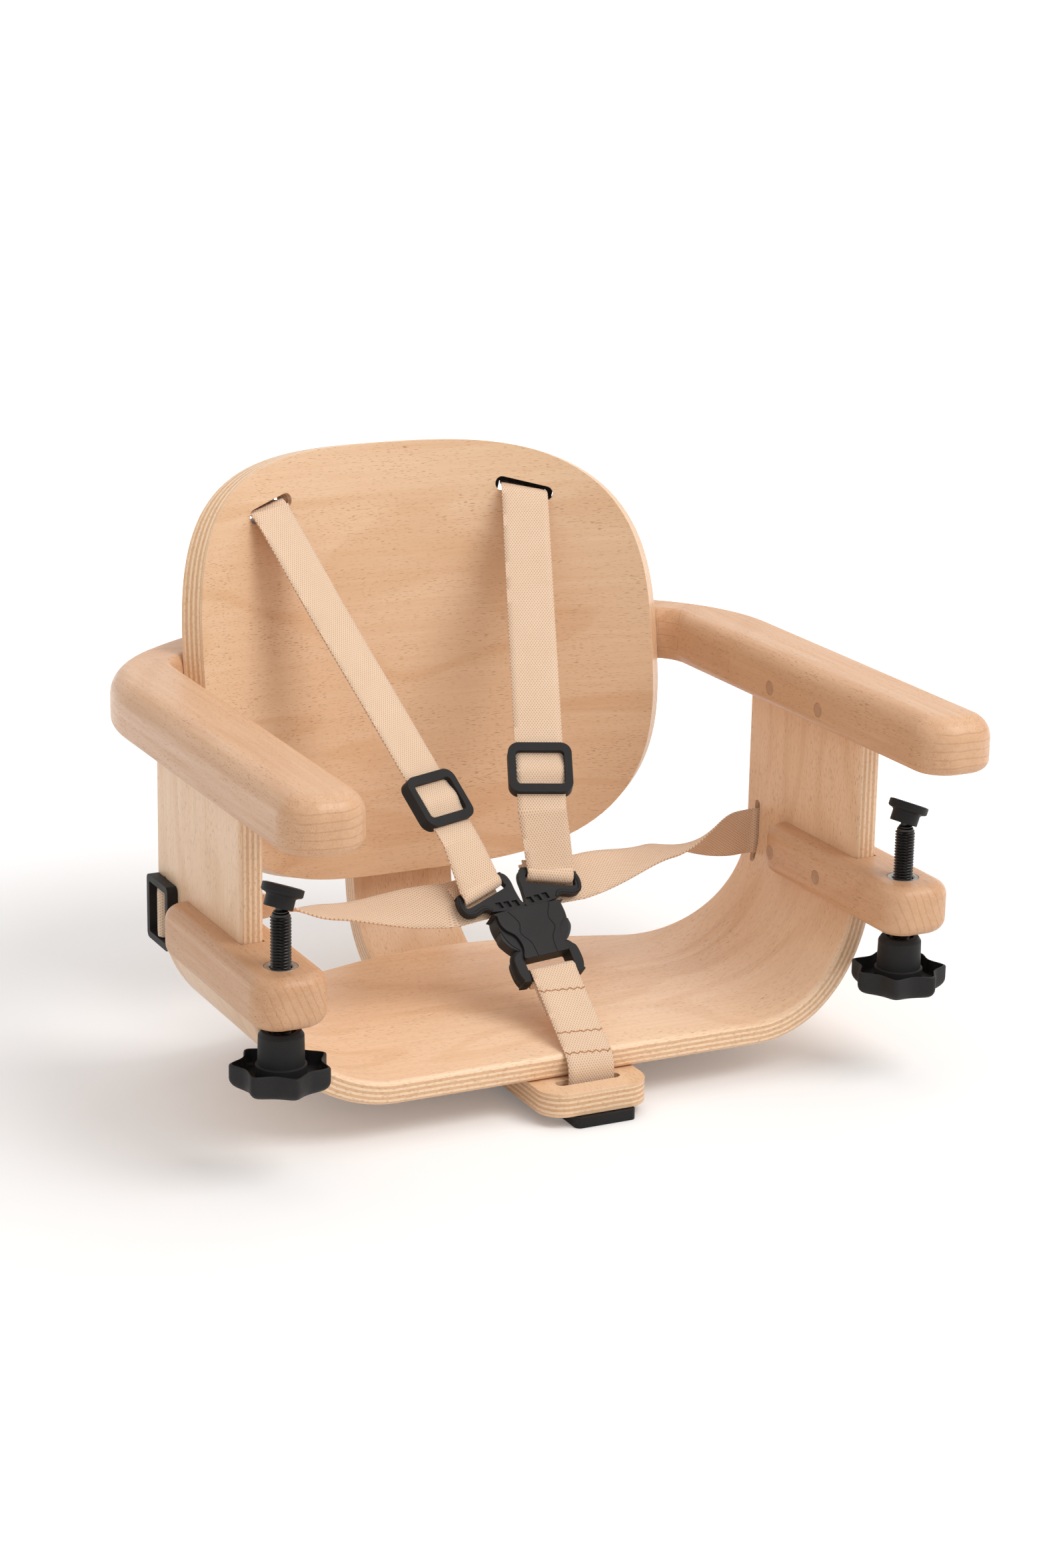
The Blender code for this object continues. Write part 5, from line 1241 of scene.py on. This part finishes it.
def slider_turn(place):
    """From a slot round its slider's bar to the end of the webbing on the bar's other side."""
    height = GAP + SLIDER_SEAT / 2
    spots = [(0, -y, height + z) for y, z in round_points(WEB_TURN, 0, pi, 12)]
    return [place @ Vector(spot) for spot in spots + [(0, WEB_TURN, 2 * GAP)]]


def shoulder_look(side, word):
    stop, flat = back_slider_frame(side), adjuster_frame(side)
    line = slider_turn(stop)[::-1]
    start_across = stop.to_3x3() @ Vector((-1, 0, 0))
    flat_across = flat.to_3x3() @ Vector((1, 0, 0))
    inside = stop @ Vector((0, -WEB_TURN, -PLY / 2))
    outside = stop @ Vector((0, -WEB_TURN, -PLY - 4 * GAP))
    outside.x -= 0.0022 if side < 0 else 0
    above, below, hump_lift, hump_reach = 0.058, -0.024, 0.0016, 0.0085
    high, low = flat @ Vector((0, above, 0)), flat @ Vector((0, below, 0))
    lead = (outside - inside).normalized() * (PLY * 0.6)
    sweep = smooth_route([inside, outside, outside + lead * 0.5 + (high - outside) * 0.07,
                          outside.lerp(high, 0.5) + lead * 0.1, high], 14)
    hump = [flat @ Vector((0, y, hump_lift * fading(min(abs(y) / hump_reach, 1))))
            for y in spread(above, below, 40)[1:-1]]
    centre, along_bar, down = tongue_bar(side)
    out = buckle_frame().to_3x3() @ Vector((0, 0, 1))
    bight = [centre + out * x + down * y for x, y in
             round_points(TONGUE_TURN, radians(-15), pi, 20)]
    bight.append(bight[-1] - down * 0.009)
    run = smooth_route([low, low.lerp(bight[0], 0.5) + out * GAP, bight[0]], 12)
    route, across = [], []
    for points, first, last in (
            (line, start_across, start_across), (sweep, start_across, flat_across),
            (hump, flat_across, flat_across), (run, flat_across, along_bar),
            (bight[1:], along_bar, along_bar)):
        route += points
        across += [first.lerp(last, share) for share in spread(0, 1, len(points) - 1)]
    strap(webbing(*resample(route, across), start=0.3 * side), f"{word}_shoulder_strap")


def waist_look(side, word):
    spot = buckle_frame()
    tail = -TONGUE_DROP - TONGUE_THICK / 2 - TONGUE_TURN - WEB_THICK - GAP
    start = spot @ Vector((side * TONGUE_WIDE * 0.25, TONGUE_TALL * 0.72, tail))
    leave = spot @ Vector((side * TONGUE_WIDE * 1.05, TONGUE_TALL * 0.66, tail))
    slot = Vector((side * PANEL_INNER, WAIST_SLOT_Y, WAIST_SLOT_Z))
    near = slot - Vector((side * PLY, 0, 0))
    half_way = leave.lerp(near, 0.5) - Vector((0, 0, 0.004 if side < 0 else -0.002))
    count = 24
    route = smooth_route([leave, half_way, near, slot], count)
    turns = (BUCKLE_SLOPE, 0, radians(-86), radians(-90))
    across = []
    for i in range(len(route)):
        first = min(i // count, len(turns) - 2)
        share = i / count - first
        share = share * share * (3 - 2 * share)
        angle = turns[first] + (turns[first + 1] - turns[first]) * share
        across.append(Vector((0, cos(angle), sin(angle))))
    loop = slider_turn(waist_slider_frame(side))
    route = [start] + route + loop
    across = across[:1] + across + across[-1:] * len(loop)
    strap(webbing(*resample(route, across), start=0.5 * side), f"{word}_waist_strap")


def crotch_route():
    """From the slider under the tab up round the buckle's bar and back behind itself."""
    stop, spot = tab_slider_frame(), buckle_frame()
    bar_radius = 0.0022
    bar = spot @ Vector((0, -BUCKLE_LENGTH + bar_radius, -BUCKLE_THICK / 2))
    turn = bar_radius + WEB_THICK + GAP * 3
    foot = stop @ Vector((0, -WEB_TURN, 0))
    rise = Vector((foot.x, TAB_SLOT_Y, PLY))
    bend_at = rise + Vector((0, 0.0006, 0.0095))
    wrap = [bar + Vector((0, y, z)) for z, y in round_points(turn, -pi / 8, pi, 18)]
    aim = wrap[0] - bend_at
    up = [bend_at + aim * share for share in (0.08, 0.3, 0.55, 0.8)]
    drop = Vector((0, 0.0012, -0.0030))
    under = [wrap[0] + drop - aim * share for share in (0.06, 0.25, 0.44)]
    lead = smooth_route([foot, rise, bend_at - Vector((0, 0, 0.003))] + up + [wrap[0]], 8)
    back = smooth_route([wrap[-1]] + under, 8)
    route = slider_turn(stop)[::-1] + lead[1:] + wrap[1:] + back[1:]
    straight = Vector((1, 0, 0))
    tilted = spot.to_3x3() @ straight
    across = []
    for place in route:
        share = clamped((place.y - rise.y) / (bar.y - TAB_SLOT_Y))
        place.x = foot.x + (bar.x - foot.x) * share
        across.append(straight.lerp(tilted, share))
    return route, across


def sewn_row(route, across, i):
    """A zigzag row of thread across a strap, at station i."""
    line = (route[i + 1] - route[i - 1]).normalized()
    side = across[i] - line * across[i].dot(line)
    side.normalize()
    lift = side.cross(line) * (WEB_THICK / 2)
    for k in range(STITCHES):
        centre = route[i] + lift + side * ((k - (STITCHES - 1) / 2) / 6.2 * WEB_WIDTH / 2)
        slant = (0.0005 if k % 2 else -0.0005) + noise.noise(Vector((k * 3.1, i, 0.5))) * 0.0006
        reach = side * 0.0010 + line * slant
        one, two, middle = centre - reach, centre + reach, centre + lift * 0.22
        yield tube([one, one.lerp(middle, 0.6), middle, middle.lerp(two, 0.4), two],
                   STITCH_RADIUS, 6)


def crotch_look():
    route, across = resample(*crotch_route())
    mesh = webbing(route, across)
    own_faces = len(mesh.polygons)
    above = next(i for i, place in enumerate(route) if place.z > PLY)
    rows = [next(i for i in range(above, len(route)) if route[i].z > z) for z in ROW_HEIGHTS]
    threads = [thread for i in rows for thread in sewn_row(route, across, i)]
    settled(opened(mesh, *threads), mesh)
    ends = ((0, TAB_SLOT_Y, 0.020), (0, 0.022, 0.048))
    thing = strap(mesh, "crotch_strap", ("chair", "buckle") + ends)
    thing.data.materials.append(THREAD)
    for face in list(thing.data.polygons)[own_faces:]:
        face.material_index = 1


def harness_looks():
    for side, word in SIDES:
        slider_look(f"{word}_back_slider", back_slider_frame(side), BACK_SLIDER_TALL)
        slider_look(f"{word}_waist_slider", waist_slider_frame(side))
        adjuster_look(side, word)
        tongue_look(side, word)
        shoulder_look(side, word)
        waist_look(side, word)
    slider_look("crotch_slider", tab_slider_frame())
    buckle_looks()
    crotch_look()


# Stage and light
def camera():
    """The photograph's camera, as fitted to the edges of arms, panels and blocks."""
    az, el, roll = (radians(v) for v in (-26.51, 16.33, 1.0))
    focal_pixels, frame_pixels, sensor = 5021, 2352, 36
    back = Vector((sin(az) * cos(el), -cos(az) * cos(el), sin(el)))
    side = Vector((cos(az), sin(az), 0))
    up = back.cross(side)
    right = side * cos(roll) + up * sin(roll)
    top = up * cos(roll) - side * sin(roll)
    place = back * 1.635 - right * 0.02459 + top * 0.05577 + Vector((0, 0, BLOCK_TOP))
    lens = bpy.data.cameras.new("camera")
    lens.sensor_fit, lens.sensor_width = "AUTO", sensor
    lens.lens = sensor * focal_pixels / frame_pixels
    lens.clip_end = 20
    lens.dof.use_dof = False
    made = bpy.data.objects.new("camera", lens)
    made.matrix_world = frame_matrix(place, right, top, back)
    SCENE.collection.objects.link(made)
    SCENE.camera = made


def lamp(name, place, target, size, power, colour=(1, 1, 1)):
    light = bpy.data.lights.new(name, "AREA")
    light.shape, light.size, light.energy, light.color = "DISK", size, power, colour
    made = bpy.data.objects.new(name, light)
    made.matrix_world = along(Vector(place), Vector(place) - Vector(target))
    SCENE.collection.objects.link(made)


def pale_floor():
    """White far off, and dimmer under the chair, where its shadow has to show."""
    n = material("pale_floor", Roughness=0.9, Base_Color=(0.86, 0.85, 0.845, 1),
                 Emission_Color=(1, 0.995, 0.99, 1))
    far = n.node("VectorMath", {0: n.place()}, operation="LENGTH")["Value"]
    glow = n.soft(far, 0.35, 1.1, 0.13, 1.0)
    n.put(n.times(n.rays("Camera", "Glossy"), glow), n.shader["Emission Strength"])
    return n.owner


def stage():
    work = bmesh.new()
    bmesh.ops.create_grid(work, x_segments=2, y_segments=2, size=9)
    bmesh.ops.translate(work, verts=work.verts, vec=(0, 0, FLOOR_Z))
    floor = bpy.data.objects.new("floor", settled(work))
    SCENE.collection.objects.link(floor)
    floor.data.materials.append(pale_floor())
    SCENE.world = bpy.data.worlds.new("world")
    n = Nodes(SCENE.world)
    sky = n.tree.nodes["Background"].inputs
    sky[0].default_value = (1, 1, 1, 1)
    seen = n.rays("Camera", "Glossy", "Transmission")
    n.put(n.ramp(seen, 0, 1, 0.66, 1.0), sky[1])
    lamp("key", (0.8, -1.1, 1.9), (0, 0.05, 0.1), 1.5, 25, (1, 0.985, 0.965))
    lamp("top", (0.35, 0.35, 2.2), (0, 0.1, 0.1), 2.2, 8)
    SCENE.view_settings.view_transform = "Standard"


camera()
stage()
seat_look()
back_look()
spine_look()
ring_looks()
block_looks()
dowel_looks()
clamp_looks()
screw_looks()
harness_looks()
for thing in list(MAKE.objects):
    bpy.data.objects.remove(thing)
bpy.data.collections.remove(MAKE)
